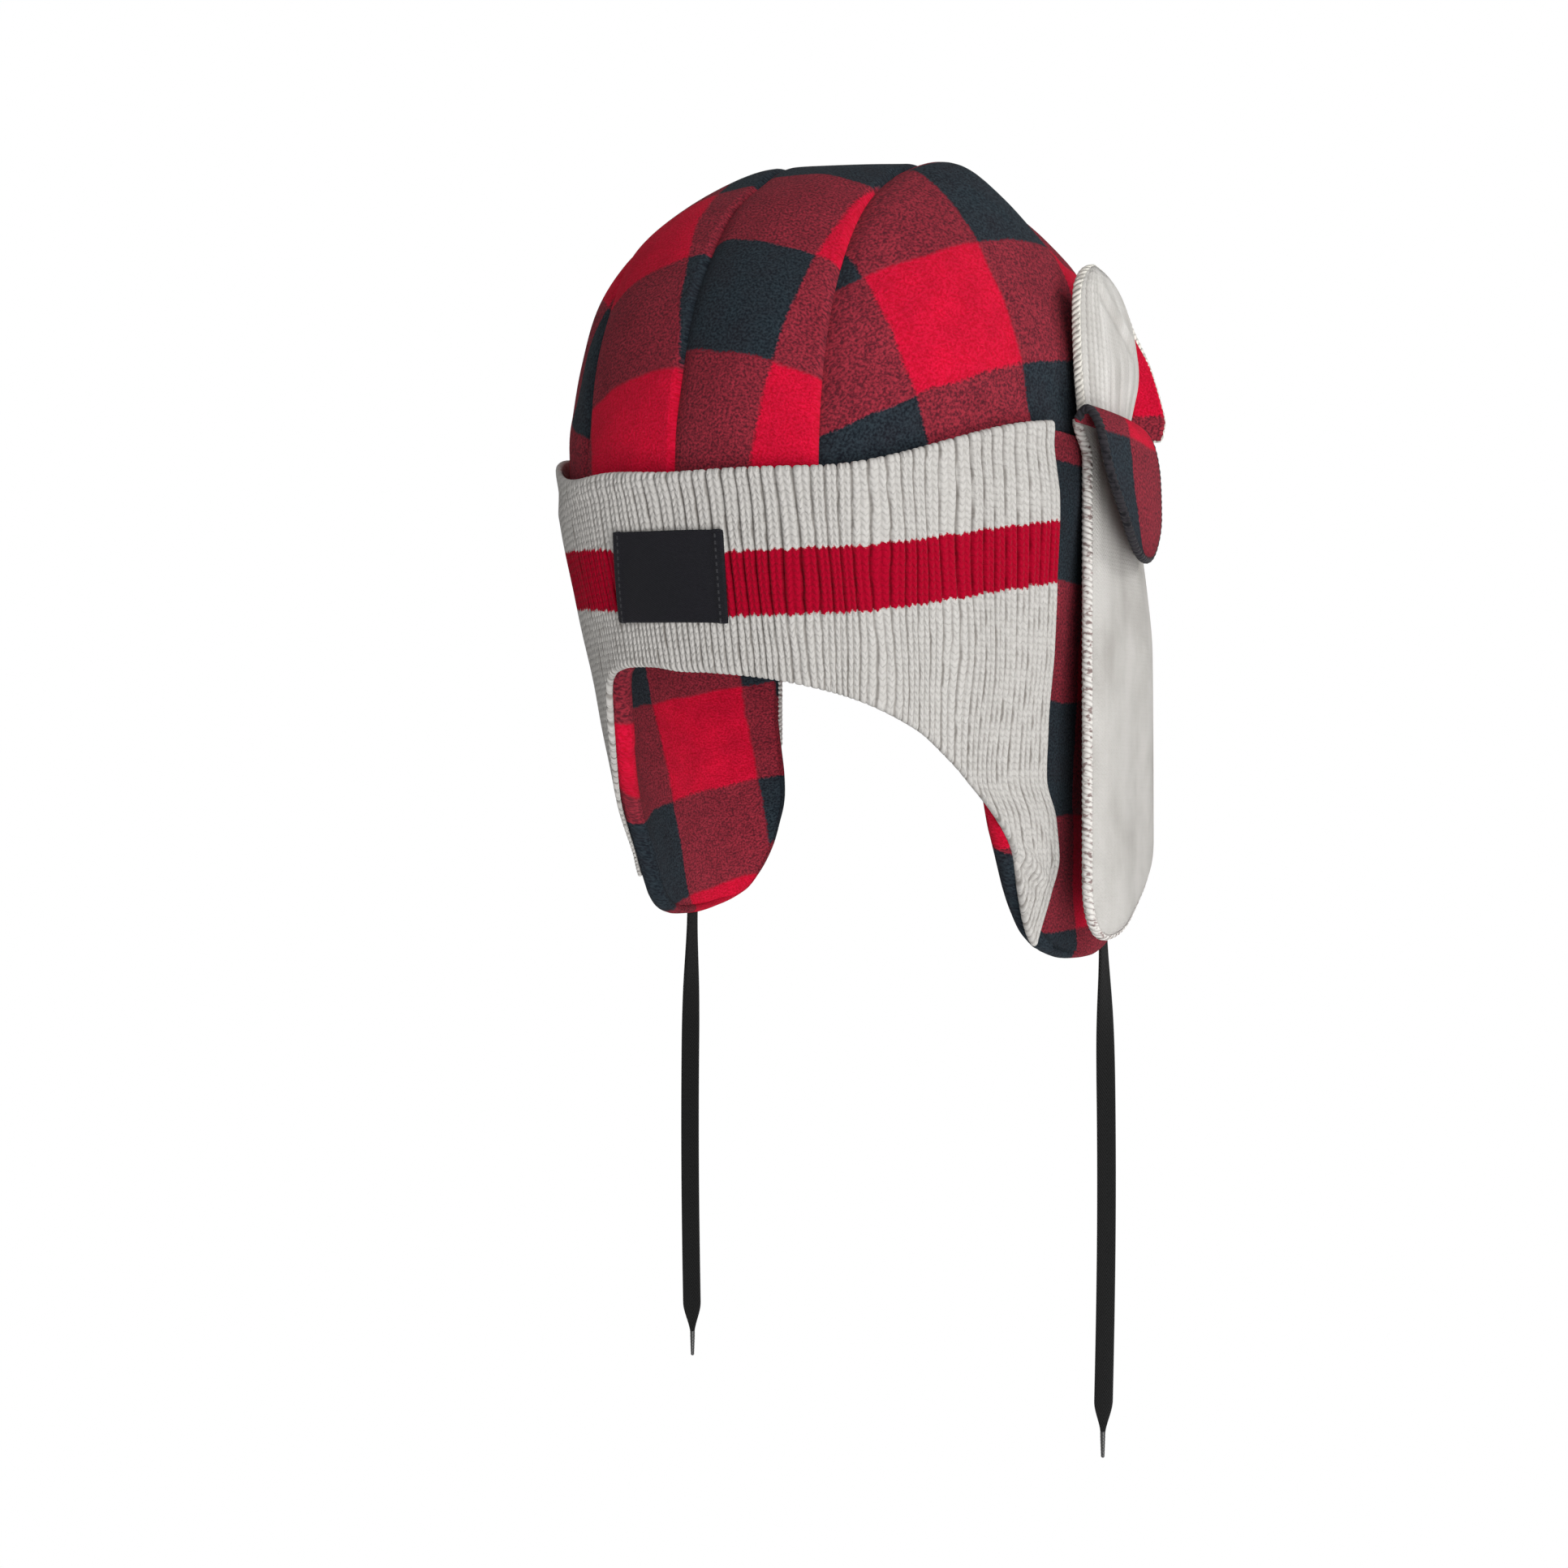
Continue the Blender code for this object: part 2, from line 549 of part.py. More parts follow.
def build_droop_tabs():
    """Fleece tab that arches out over the strap's root and hangs down."""
    def tab(u, v, out, back):
        past = max(0.0, (v - DROOP_ROUND_FROM) / (1.0 - DROOP_ROUND_FROM))
        half = DROOP_HALF_WIDTH * (1.0 - past ** TAB_ROUND_POWER) ** (1.0 / TAB_ROUND_POWER)
        y = through(DROOP_CENTRE_Y, v) + mix(-half, half, u)
        ahead, behind = min(v + 0.01, 1.0), max(v - 0.01, 0.0)
        run = through(DROOP_OUT, ahead) - through(DROOP_OUT, behind)
        fall = through(DROOP_RISE, ahead) - through(DROOP_RISE, behind)
        size = sqrt(run * run + fall * fall)
        height = ROOT_HEIGHT + through(DROOP_RISE, v) + run / size * out
        return rooted(through(DROOP_OUT, v) - fall / size * out, y, height, back)

    for name, side in SIDES.items():
        back = SET_BACK[name]
        pivot = rooted(DROOP_OUT[0][1], 0.0, ROOT_HEIGHT + DROOP_RISE[0][1], back)
        shape = partial(tab, back=back)
        sheet("droop_tab_" + name, shape, (0.0, DROOP_THICK), (8, 12), "fleece", side, pivot=pivot)


def main():
    clear_scene()
    hat = bpy.data.collections.new("trapper_hat")
    bpy.context.scene.collection.children.link(hat)
    build_crown()
    build_skirt()
    build_cuff()
    build_flaps()
    build_laces()
    build_straps()
    build_top_tabs()
    build_droop_tabs()


main()
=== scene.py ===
"""Looks of a trapper hat in check fleece and rib knit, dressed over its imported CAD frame.

Lengths are in millimetres until a mesh is made. The wearer faces -Y and +X is the wearer's left.
"""
from math import cos, pi, radians, sin

import bpy
import numpy as np
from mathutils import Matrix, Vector


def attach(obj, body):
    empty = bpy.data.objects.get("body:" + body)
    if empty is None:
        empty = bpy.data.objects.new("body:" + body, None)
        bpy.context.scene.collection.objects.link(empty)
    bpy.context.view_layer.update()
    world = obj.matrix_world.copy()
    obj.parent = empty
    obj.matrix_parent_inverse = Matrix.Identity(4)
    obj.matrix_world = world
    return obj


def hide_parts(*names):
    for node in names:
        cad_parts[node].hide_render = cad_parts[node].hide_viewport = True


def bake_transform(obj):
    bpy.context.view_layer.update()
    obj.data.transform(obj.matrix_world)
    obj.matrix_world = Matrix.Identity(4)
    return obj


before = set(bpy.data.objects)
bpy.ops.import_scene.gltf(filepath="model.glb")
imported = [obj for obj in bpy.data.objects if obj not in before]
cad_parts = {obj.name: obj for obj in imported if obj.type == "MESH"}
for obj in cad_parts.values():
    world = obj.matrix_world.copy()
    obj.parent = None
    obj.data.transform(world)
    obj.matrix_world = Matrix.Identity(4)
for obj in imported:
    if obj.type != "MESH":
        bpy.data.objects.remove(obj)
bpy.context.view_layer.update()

MM = 0.001
GAP = 0.4
SIDES = {"left": 1.0, "right": -1.0}

# Camera at the photograph's place, in metres and degrees
CAMERA_TURN = 28.5
CAMERA_DISTANCE = 0.580
CAMERA_SHIFT = -0.020
CAMERA_HEIGHT = -0.0346
CAMERA_LENS = 39.13
FLOOR_HEIGHT = -0.75
AMBIENT = 0.4
WHITE = (1.0, 1.0, 1.0, 1.0)
FLOOR_GREY = (0.8, 0.8, 0.8, 1.0)
# Name, place, size and power of each square lamp
LAMPS = (
    ("key", (1.05, 0.0, 0.75), 0.35, 5.0),
    ("fill", (0.8, -0.8, 0.1), 0.7, 5.0),
    ("low_fill", (0.8, -0.75, -0.55), 0.6, 10.0),
)

# Skirt wall, as in the CAD
SKIRT_HALF_WIDTH = 90.0
SKIRT_HALF_LENGTH = 102.0
SKIRT_TOP = 53.0
SKIRT_FOOT = -85.0
SKIRT_DRAW_WIDTH = 13.0
SKIRT_DRAW_LENGTH = 8.0
SKIRT_DRAW_CURVE = 1.6
SKIRT_SHIFT_BACK = 20.0
SKIRT_HANG_LEFT = 6.0

# Crown: the form of the CAD, filled out as in the photograph
CROWN_HALF_WIDTH = 88.4
CROWN_HALF_LENGTH = 100.4
CROWN_FOOT = 45.0
CROWN_RISE = 122.0
CROWN_SQUARENESS = 2.82
CROWN_LEAN = 16.0
CROWN_TUCK = 4.0
STRIP_WIDTHS = {"left": 37.0, "right": 45.5}
PUFF_START = 22.0  # the swelling grows over this height above the cuff
STRIP_PUFF = 1.6
SIDE_PUFF = 2.4
MIDDLE_OFF = 6.0  # the middle seam runs off to the wearer's right towards the front
# Where the crown is filled out or falls in: middle, height and reach of each swelling
SWELLS = (
    ((48.0, -35.0, 140.0), 3.0, 35.0),
    ((-50.0, -35.0, 138.0), 2.0, 35.0),
    ((-7.0, -36.0, 161.0), 2.4, 14.0),
    ((50.0, -22.0, 157.0), 3.2, 14.0),
    ((68.0, 12.0, 146.0), -3.6, 16.0),
    ((22.0, -35.0, 162.0), -0.8, 12.0),
    ((-68.0, -66.0, 88.0), -2.0, 16.0),
)
SEAM_PROUD = 0.7  # at a seam the upper panel stands proud and ends in a rounded fold
SEAM_ROLL = 1.1
SEAM_ROLL_WIDTH = 1.8
SEAM_TUCK = 1.4  # and the lower panel runs under it
SEAM_TUCK_WIDTH = 6.0
SEAM_FADE = 8.0  # the proud edge sinks back over this length
# A crown side is laid flat about this point, facing this way
SPREAD_CENTRE = (65.4, -63.0, 100.2)
SPREAD_NORMAL = (0.738, -0.609, 0.291)

# Cloth layers, as distances outside the fleece face
FLEECE = (-3.0, 0.0)
LINING = (-6.0, -3.4)
CROWN_LINING = (-7.2, -4.6)
KNIT = (0.4, 3.2)
CLOTH_WAVE = 0.6  # height of the gentle waves in the fleece
KNIT_WAVE = 0.5  # and in the knit

# Edges as in the photograph (angles in degrees from the front, heights)
CUFF_FRONT = 54.0
CUFF_CLIMB = 22.0
CUFF_CLIMB_START = 25.0
CUFF_CLIMB_SPAN = 51.0
HEM_FRONTS = {
    "left": ((0, -0.6), (7, -1.8), (16, -3.9), (30, -9.5), (41, -17.5), (50, -29), (55, -36), (58.8, -45),
             (60.2, -52), (61, -57)),
    "right": ((0, -0.6), (5.5, 0.4), (14, 2.6), (21, 3.2), (27, 2.3), (31, 0), (33.5, -4), (35.5, -10),
              (39, -20), (44, -30), (51, -41), (56.5, -49), (59.5, -55)),
}
HEM_REST = ((62, -63), (63.5, -69), (66, -75.5), (71.5, -81), (78, -83), (87, -83.5), (97.5, -81.5),
            (107, -77), (113, -70), (118.5, -60), (122, -50), (124.5, -41), (125.7, -30), (126.3, -12),
            (127.5, 5), (130.5, 13), (143, 17), (180, 17))
DEGREE = 1.55  # length of a degree along the wall
COLUMN_RADIUS = 95.0  # columns of points are spaced on a wall of this radius
CHECK_RADIUS = 93.0
# From these angles on the fleece reaches the hem, in front of them the knit covers its edge
FLEECE_SHOWS = {"left": 58.5, "right": 24.0}
COVERED_INSET = 4.5
RIM_INSET = 1.2
RIM_SIZE = (3.3, 2.0)  # half its thickness, and half its width along the cloth
RIM_START = {"left": 57.0, "right": 26.0}
RIM_BESIDE = {"left": "side_left", "right": "lining_right"}  # its check runs on over the rim
# In front the rim is a looser roll, which ends at these heights and narrows over this length before that
ROLL_ENDS = {"left": -88.0, "right": -33.0}
ROLL_NARROWS = {"left": 4.0, "right": 14.0}
ROLL_GROW = 1.12
ROLL_END_SIZE = 0.4  # share of its size that is left at its end
KNIT_REAR = ((-84, 64.5), (-81, 65.5), (-67.5, 70), (-54, 73.5), (-44, 73), (-33, 70.3), (-18, 71.5),
             (7, 73.4), (42, 73), (76, 70.5))
KNIT_EDGES = {
    "left": ((0, -0.6), (7, -1.8), (16, -3.9), (30, -9.5), (41, -17.8), (47, -26), (52.5, -35), (57.2, -42.7),
             (59.5, -47.3), (61.2, -53.6), (61.8, -66), (62.3, -75), (63.2, -81.5), (64.2, -84), (90, -85)),
    "right": ((0, -0.6), (5.5, -0.2), (14, 1.6), (21, 2), (27, 1), (31, -1.5), (33.5, -6), (35.5, -12),
              (39, -22), (43, -31), (50, -42), (56, -50), (60, -58), (62, -66), (62.5, -75), (63.2, -81.5),
              (64.2, -84), (90, -85)),
}
KNIT_TIP = -84.0  # level of the knit's point, before it is shortened by KNIT_SHORT
KNIT_INNER_EDGE = 5.0  # level that the knit's front edge stays below
KNIT_SHORTENS_FROM = -45.0
# How the cuff is worn: its top line and its stripe (angle towards the wearer's left, millimetres)
CUFF_UNEVEN = ((-80, 0), (-40, 3), (-20, 2.4), (0, -0.6), (20, -0.6), (40, -0.3), (70, -2.8), (80, -2.8))
STRIPE_TOP = ((-80, 46), (-33, 38), (-20, 35.6), (0, 32.7), (10, 32.1), (27, 32.5), (40, 34.8), (55, 39.2),
              (70, 43.8), (80, 46))
KNIT_SHORT = {"left": 6.3, "right": 16.0}
FOLD_HEIGHT = -30.0
FLAP_DROPS = {"left": 1.12, "right": 0.95}

# Rib knit
RIBS = 28  # ribs from the front to the rear edge, two wales each
COURSE = 2.0  # height of one stitch
RIB_DEPTH = 2.1
NOTCH_DEPTH = 0.4  # between the two wales of a rib
WALE_DEPTH = 1.2  # between the single wales below the stripe
STRIPE_HEIGHT = 18.3
RIB_CHANGE = (-4.0, 6.0)  # double ribs turn into single wales between these distances past the stripe
STRIPE_EDGE = 0.25  # half the softness of the stripe's edges
CUFF_ROLL = 0.9  # height of the rolled top edge
CUFF_ROLL_WIDTH = 7.0
KNIT_SLIM = 1.4  # the cuff lies flatter on the wearer's right, about this angle
KNIT_SLIM_ANGLE = -55.0
KNIT_SLIM_SPAN = 20.0
PUCKER = ((61.5, -56.0), (67.0, -66.5))  # ends of a fold in the left flap's knit (angle, height)
PUCKER_SCALE = (1.5, 1.0)  # millimetres in a degree and in a unit of height
PUCKER_HEIGHT = 1.3

# Check fleece
CHECK = 39.0  # width of one stripe of the check

# Label
LABEL_ANGLES = (-17.95, 6.95)
LABEL_HEIGHTS = (13.2, 38.5)
LABEL_TILT = 2.4  # its end on the wearer's right sits this much higher
LABEL_LEANS = (2.8, 0.9)  # degrees by which its right and left edge lean to the wearer's left
LABEL_THICK = 1.2
LABEL_WEAVE = (39.0, 27.0)  # size over which its weave is laid
LABEL_STITCHES = 1.7  # distance of the stitches from its ends

# Laces, as in the CAD but for a slight sway
LACE_ANGLES = {"left": 107.0, "right": 86.0}
LACE_WIDTH = 6.5
LACE_THICK = 1.4
LACE_OUT = -3.2
LACE_LENGTHS = {"left": 175.0, "right": 155.0}
LACE_TAPER = 12.0
LACE_TURNS = {"left": 30.0, "right": 150.0}
LACE_TURN_LENGTH = 55.0
LACE_SWAY = {"left": 1.3, "right": -0.9}
AGLET_LENGTH = 7.0
AGLET_RADIUS = 0.75
AGLET_TIP_RADIUS = 0.6
AGLET_OVERLAP = 2.0
AGLET_RIDGE = 1.1  # distance of the rings on it
LACE_SQUARENESS = 0.6

# Side strap and tabs, with outlines as in the photograph
ROOT_HEIGHT = CUFF_FRONT + CUFF_CLIMB
SET_BACK = {"left": 0.0, "right": 34.0}
LAYER_IN = (0.4, 2.8)
LAYER_OUT = (3.4, 5.6)
LAYER_CLOSE = (0.2, 0.3)  # the layers are thickened by this much where they face each other
STRAP_Y = (-16.0, 40.0)
STRAP_ROOT_Y = (-16.0, 30.0)
STRAP_FLARE = 6.5
STRAP_BOW = 2.0
STRAP_TURN = 70.0
STRAP_TIP_Y = -8.0
STRAP_BOTTOMS = {"left": -81.5, "right": -62.0}
STRAP_ROUND = (17.0, 44.0)
STRAP_ROUND_POWERS = (2.2, 1.5)
TAB_ROUND_POWER = 2.2
TAB_HEIGHT = 48.0
TAB_FLARE = 4.0
TAB_FLARE_WIDTH = 40.0  # the tab stands off less where it is narrower than this
# Front and rear edge of the tab (share of its height, y)
TAB_FRONT = ((0, -19), (0.31, -21.5), (0.7, -22.5), (0.83, -21.8), (0.92, -19.5), (0.975, -16.5), (1, -14))
TAB_REAR = ((0, 22), (0.31, 22), (0.55, 16.5), (0.7, 11.5), (0.8, 6.5), (0.88, 1.5), (0.94, -4),
            (0.98, -9.5), (1, -13.4))
REAR_TAB_Y = 34.0
REAR_TAB_REACH = 15.0
REAR_TAB_WAIST = 0.38
REAR_TAB_WIDEST = 0.12
REAR_TAB_WAIST_POWER = 1.2
REAR_TAB_ROUND = 4.0
REAR_TAB_SWEEP = 4.0
REAR_TAB_HEIGHTS = (81.5, 124.0)
DROOP_THICK = 2.4
DROOP_OUT = ((0.0, 8.6), (0.2, 10.4), (0.4, 13.0), (0.6, 14.6), (0.8, 14.4), (1.0, 12.6))
DROOP_RISE = ((0.0, -2.6), (0.2, -0.2), (0.4, -3.9), (0.6, -14.0), (0.8, -27.5), (1.0, -41.8))
DROOP_CENTRE_Y = ((0.0, -10.7), (0.5, -9.2), (1.0, 3.0))
DROOP_HALF_WIDTH = 20.3
DROOP_ROUND_FROM = 0.55
DROOP_INSET = 2.0  # room for the thread round its edge
DROOP_LENGTH = 50.0  # length over which its check is laid

# Sewing of the straps and tabs
EDGE_PINCH = 0.5  # share of the thickness that is lost where the layers are sewn together
EDGE_WIDTH = 4.0
EDGE_SIDES = 14  # corners of the rings round an edge
THREAD_PITCH = 1.9
# Half the thickness and half the width of the sewing round each edge
EDGE_THREADS = {"strap": (1.7, 1.5), "tab": (1.5, 0.6), "rear_tab": (2.2, 1.2), "droop": (1.3, 1.5)}
STRAP_FOLD = 0.8
STRAP_PAINTED_SHADE = 0.42  # painted shade: share by which the whole strap's jersey is darkened towards the jersey's shade tone
STRAP_CURL = 6.0  # the strap's front edge turns forward at its root, over this length
STRAP_CURL_LENGTH = 11.0
JERSEY_WALES = 40
REAR_TAB_WALES = 0.3  # share of the wales that fits on the rear tab
JERSEY_COURSE = 1.3
TAB_GATHERS = (0.40, 0.57, 0.73, 0.86)  # places of the gathers across the tab
TAB_CREASE = ((0.31, 0.83), (0.85, 0.53))  # ends of the crease, as shares of the tab's width and height
TAB_RIDGES = 14  # ridges that would fill the tab's width
TAB_STITCH = 2.2  # height of one V stitch on the ridges
TAB_GATHER_DEPTH = 0.9
TAB_RIDGE_DEPTH = 0.65
TAB_STITCH_DEPTH = 0.3

# Check layout of each cloth: lean of its two sets of stripes in degrees, and where they start
LATTICE = {
    "strip_left": (-9.0, -12.0, -20.5, 41.0),
    "strip_right": (-8.0, -2.0, -38.8, 36.2),
    "crown_left": (17.0, 21.0, -59.5, -57.2),
    "crown_right": (10.0, 21.0, -48.8, -15.6),
    "side_left": (-5.6, 0.0, 101.4, 27.3),
    "side_right": (0.0, 0.0, 102.0, 0.0),
    "lining_left": (0.0, 0.0, 80.5, -40.0),
    "lining_right": (0.0, 8.5, 80.5, -94.5),
    "roll_left": (0.0, 0.0, -93.0, -93.0),
    "roll_right": (0.0, 0.0, 19.5, -14.7),
    "crown_lining": (0.0, 0.0, 0.0, 0.0),
    "strap": (0.0, 0.0, -20.0, 0.0),
    "tab": (0.0, 0.0, -20.0, 60.0),
    "rear_tab": (0.0, 0.0, 20.0, 49.4),
    "droop": (16.7, 0.0, -36.9, 23.0),
}
# Stripe widths where the cloth is cut or stretched differently
STRIPES = {"crown_left": (41.0, 39.0), "side_left": (36.0, 36.0), "side_right": (36.0, 36.0),
           "lining_left": (45.0, 36.0), "lining_right": (54.5, 34.5)}

# Colours, most of them as a dark and a light tone
FLEECE_RED = ((0.48, 0.002, 0.019), (0.67, 0.006, 0.042))
FLEECE_MAROON = ((0.085, 0.011, 0.019), (0.34, 0.028, 0.046))
FLEECE_BLACK = ((0.006, 0.011, 0.016), (0.026, 0.040, 0.050))
FLEECE_WORN = (0.02, 0.004, 0.006)
LINING_PAINTED_LIGHT = 1.4  # painted light: the lining's tones are made this much lighter than the same fleece outside
KNIT_CREAM = ((0.40, 0.385, 0.365), (0.51, 0.495, 0.475))
KNIT_RED = ((0.24, 0.0, 0.008), (0.38, 0.002, 0.024))
# Painted shade: tones that the knit's troughs and stitch hollows are darkened towards
CREAM_TROUGH_SHADE = (0.16, 0.145, 0.13)
RED_TROUGH_SHADE = (0.09, 0.0, 0.003)
JERSEY_CREAM = ((0.45, 0.435, 0.41), (0.68, 0.665, 0.64))
# Painted shade: tone the jersey is darkened towards between wales, over the strap and in the tab's gathers
# and crease, mixed with random fuzz
JERSEY_SHADE = (0.20, 0.185, 0.17)
LACE_BLACK = ((0.003, 0.003, 0.003), (0.018, 0.018, 0.018))
LABEL_BLACK = ((0.005, 0.005, 0.007), (0.016, 0.016, 0.020))
LABEL_THREAD = (0.045, 0.045, 0.050)
AGLET_BLACK = ((0.008, 0.008, 0.008), (0.016, 0.016, 0.016))
# Both tones of each overlock thread, and how finely they are mixed
THREADS = {
    "mottled_thread": ((0.24, 0.18, 0.17), (0.62, 0.60, 0.57), 0.7),
    "cream_thread": ((0.46, 0.44, 0.40), (0.70, 0.68, 0.62), 0.5),
    "black_thread": ((0.006, 0.006, 0.008), (0.022, 0.020, 0.024), 0.5),
}
WOOL = {"Roughness": 0.95, "Specular_IOR_Level": 0.04, "Sheen_Weight": 0.03, "Sheen_Roughness": 0.5}


def ease(t):
    """Smooth step from 0 to 1."""
    t = np.clip(t, 0.0, 1.0)
    return t * t * (3.0 - 2.0 * t)


def mix(a, b, t):
    return a + (b - a) * t


def through(points, x):
    """Smooth curve through given (x, y) points, without overshoot."""
    px, py = np.array(points, float).T
    x = np.clip(x, px[0], px[-1])
    slopes = np.diff(py) / np.diff(px)
    product = slopes[:-1] * slopes[1:]
    rising = product > 0.0
    inner = np.where(rising, 2.0 * product / np.where(rising, slopes[:-1] + slopes[1:], 1.0), 0.0)
    tangents = np.concatenate((slopes[:1], inner, slopes[-1:]))
    i = np.clip(np.searchsorted(px, x) - 1, 0, len(px) - 2)
    step = px[i + 1] - px[i]
    t = (x - px[i]) / step
    rise = py[i] * (1.0 + 2.0 * t) * (1.0 - t) ** 2 + py[i + 1] * t * t * (3.0 - 2.0 * t)
    return rise + step * (tangents[i] * t * (1.0 - t) ** 2 + tangents[i + 1] * t * t * (t - 1.0))


def halve(too_high, low, high, steps=32):
    """The values between low and high from which too_high holds."""
    for _ in range(steps):
        middle = 0.5 * (low + high)
        over = too_high(middle)
        high = np.where(over, middle, high)
        low = np.where(over, low, middle)
    return 0.5 * (low + high)


def pairs(us, vs):
    """Every pair of the values, as two arrays."""
    return np.meshgrid(np.asarray(us, float), np.asarray(vs, float), indexing="ij")


def shares(count):
    """Evenly spaced values from 0 to 1."""
    return np.linspace(0.0, 1.0, count)


def crowded(count):
    """Values from 0 to 1 that lie closer together at both ends."""
    return 0.5 - 0.5 * np.cos(pi * shares(count))


def circle(count):
    """Evenly spaced turns of a full circle."""
    return np.linspace(0.0, 2.0 * pi, count, endpoint=False)


def hill(x, middle, width):
    """1 at the middle, falling off to both sides."""
    return np.exp(-((x - middle) / width) ** 2)


def run_along(points):
    """Distance of each point of a line from its start."""
    return np.concatenate(([0.0], np.cumsum(np.linalg.norm(np.diff(points, axis=0), axis=-1))))


def normalised(vectors):
    """Vectors of length one."""
    return vectors / np.maximum(np.linalg.norm(vectors, axis=-1, keepdims=True), 1e-9)


def ripple(points):
    """Gentle unevenness of sewn cloth, about -1 to 1."""
    x, y, z = points[..., 0], points[..., 1], points[..., 2]
    return (0.5 * np.sin(0.071 * x + 0.053 * y - 0.083 * z) + 0.3 * np.sin(0.13 * y + 0.11 * z + 1.3)
            + 0.2 * np.sin(0.19 * x - 0.17 * z + 0.08 * y + 2.1))


def cuff_line(angle):
    """Height of the cuff's top line."""
    return CUFF_FRONT + CUFF_CLIMB * ease((np.abs(angle) - CUFF_CLIMB_START) / CUFF_CLIMB_SPAN)


def hem_line(angle, name):
    """Height of the hem on one side."""
    height = through(HEM_FRONTS[name] + HEM_REST, np.abs(angle))
    return np.where(height < FOLD_HEIGHT, FOLD_HEIGHT + (height - FOLD_HEIGHT) * FLAP_DROPS[name], height)


def cloth_edge(angle, name):
    """Height of the fleece's edge: a little inside the hem, and further in where the knit covers it."""
    inset = mix(COVERED_INSET, RIM_INSET, ease((angle - FLEECE_SHOWS[name]) / 1.5))
    around = [(inset / DEGREE * cos(turn), inset * sin(turn)) for turn in np.linspace(0.0, pi, 13)]
    return np.max([hem_line(angle + aside, name) + up for aside, up in around], axis=0)


def wall(angle, height, out, side):
    """Points on the skirt wall, out millimetres outside the fleece face."""
    angle, height, out = np.broadcast_arrays(np.asarray(angle, float), height, out)
    t = np.clip((SKIRT_TOP - height) / (SKIRT_TOP - SKIRT_FOOT), 0.0, 1.0)
    draw = 1.0 - (1.0 - t) ** SKIRT_DRAW_CURVE
    half_w = SKIRT_HALF_WIDTH - SKIRT_DRAW_WIDTH * draw
    half_l = SKIRT_HALF_LENGTH - SKIRT_DRAW_LENGTH * draw
    turn = np.radians(angle)
    x, y = half_w * np.sin(turn), -half_l * np.cos(turn)
    nx, ny = x / half_w ** 2, y / half_l ** 2
    push = out / np.hypot(nx, ny)
    x = side * (x + nx * push) + SKIRT_HANG_LEFT * t * t
    return np.stack((x, SKIRT_SHIFT_BACK * t + y + ny * push, height), -1)


def dome(x, turn, grow):
    """Points on the crown in the slice at x, turn going from 0 in front to pi at the back."""
    x, turn, grow = np.broadcast_arrays(np.asarray(x, float), turn, grow)
    across = x / CROWN_HALF_WIDTH

    def outside(reach):
        level = np.hypot(across, reach * np.cos(turn)) ** CROWN_SQUARENESS
        return level + np.abs(reach * np.sin(turn)) ** CROWN_SQUARENESS > 1.0

    reach = halve(outside, np.zeros_like(across), np.full_like(across, 1.3))
    rise = reach * np.sin(turn)
    y = CROWN_LEAN * rise * rise - (CROWN_HALF_LENGTH + grow) * reach * np.cos(turn)
    return np.stack((across * (CROWN_HALF_WIDTH + grow), y, CROWN_FOOT + (CROWN_RISE + grow) * rise), -1)


def above_cuff(points):
    """Height of crown points above the crown's lower edge."""
    angle = np.degrees(np.arctan2(points[..., 0] / CROWN_HALF_WIDTH, -points[..., 1] / CROWN_HALF_LENGTH))
    return points[..., 2] - cuff_line(angle) + CROWN_TUCK


def foot_turns(x):
    """Turns at which the slice at x meets the crown's lower edge, in front and at the back."""
    low, high = np.zeros_like(x), np.full_like(x, 0.5 * pi)
    front = halve(lambda turn: above_cuff(dome(x, turn, 0.0)) > 0.0, low, high)
    back = pi - halve(lambda turn: above_cuff(dome(x, pi - turn, 0.0)) > 0.0, low, high)
    return front, back


def widest_x():
    """The outermost slice that still rises above the crown's lower edge."""
    low, high = np.array(max(STRIP_WIDTHS.values())), np.array(CROWN_HALF_WIDTH * 0.9999)
    return float(halve(lambda x: above_cuff(dome(x, 0.5 * pi, 0.0)) < 0.0, low, high))


def root_x(y):
    """X of the skirt's fleece face at the root of the straps."""
    return SKIRT_HALF_WIDTH * np.sqrt(1.0 - (y / SKIRT_HALF_LENGTH) ** 2)


def rearward(y):
    """Unit step towards the back along the hat's side at y, as x and y."""
    slope = -y / root_x(y) * (SKIRT_HALF_WIDTH / SKIRT_HALF_LENGTH) ** 2
    size = np.sqrt(1.0 + slope * slope)
    return slope / size, 1.0 / size


def rooted(out, y, height, back, side):
    """Points out millimetres outside the hat's side, y being moved back round the side."""
    out, y, height = np.broadcast_arrays(np.asarray(out, float), y, height)
    y = y + back
    step_x, step_y = rearward(y)
    return np.stack((side * (root_x(y) + out * step_y), y - out * step_x, height), -1)


def checked(cloth, first, second, seed=0.0):
    """Check coordinates: distances along the two sets of stripes, after the cloth's own turn and start."""
    lean_first, lean_second, start_first, start_second = LATTICE[cloth]
    wide, high = STRIPES.get(cloth, (CHECK, CHECK))
    a, b = radians(lean_first), radians(lean_second)
    first, second = np.broadcast_arrays(first, second)
    across = (cos(a) * first + sin(a) * second - start_first) * CHECK / wide
    upward = (cos(b) * second - sin(b) * first - start_second) * CHECK / high
    return np.stack((across, upward, np.broadcast_to(seed, first.shape)), -1)


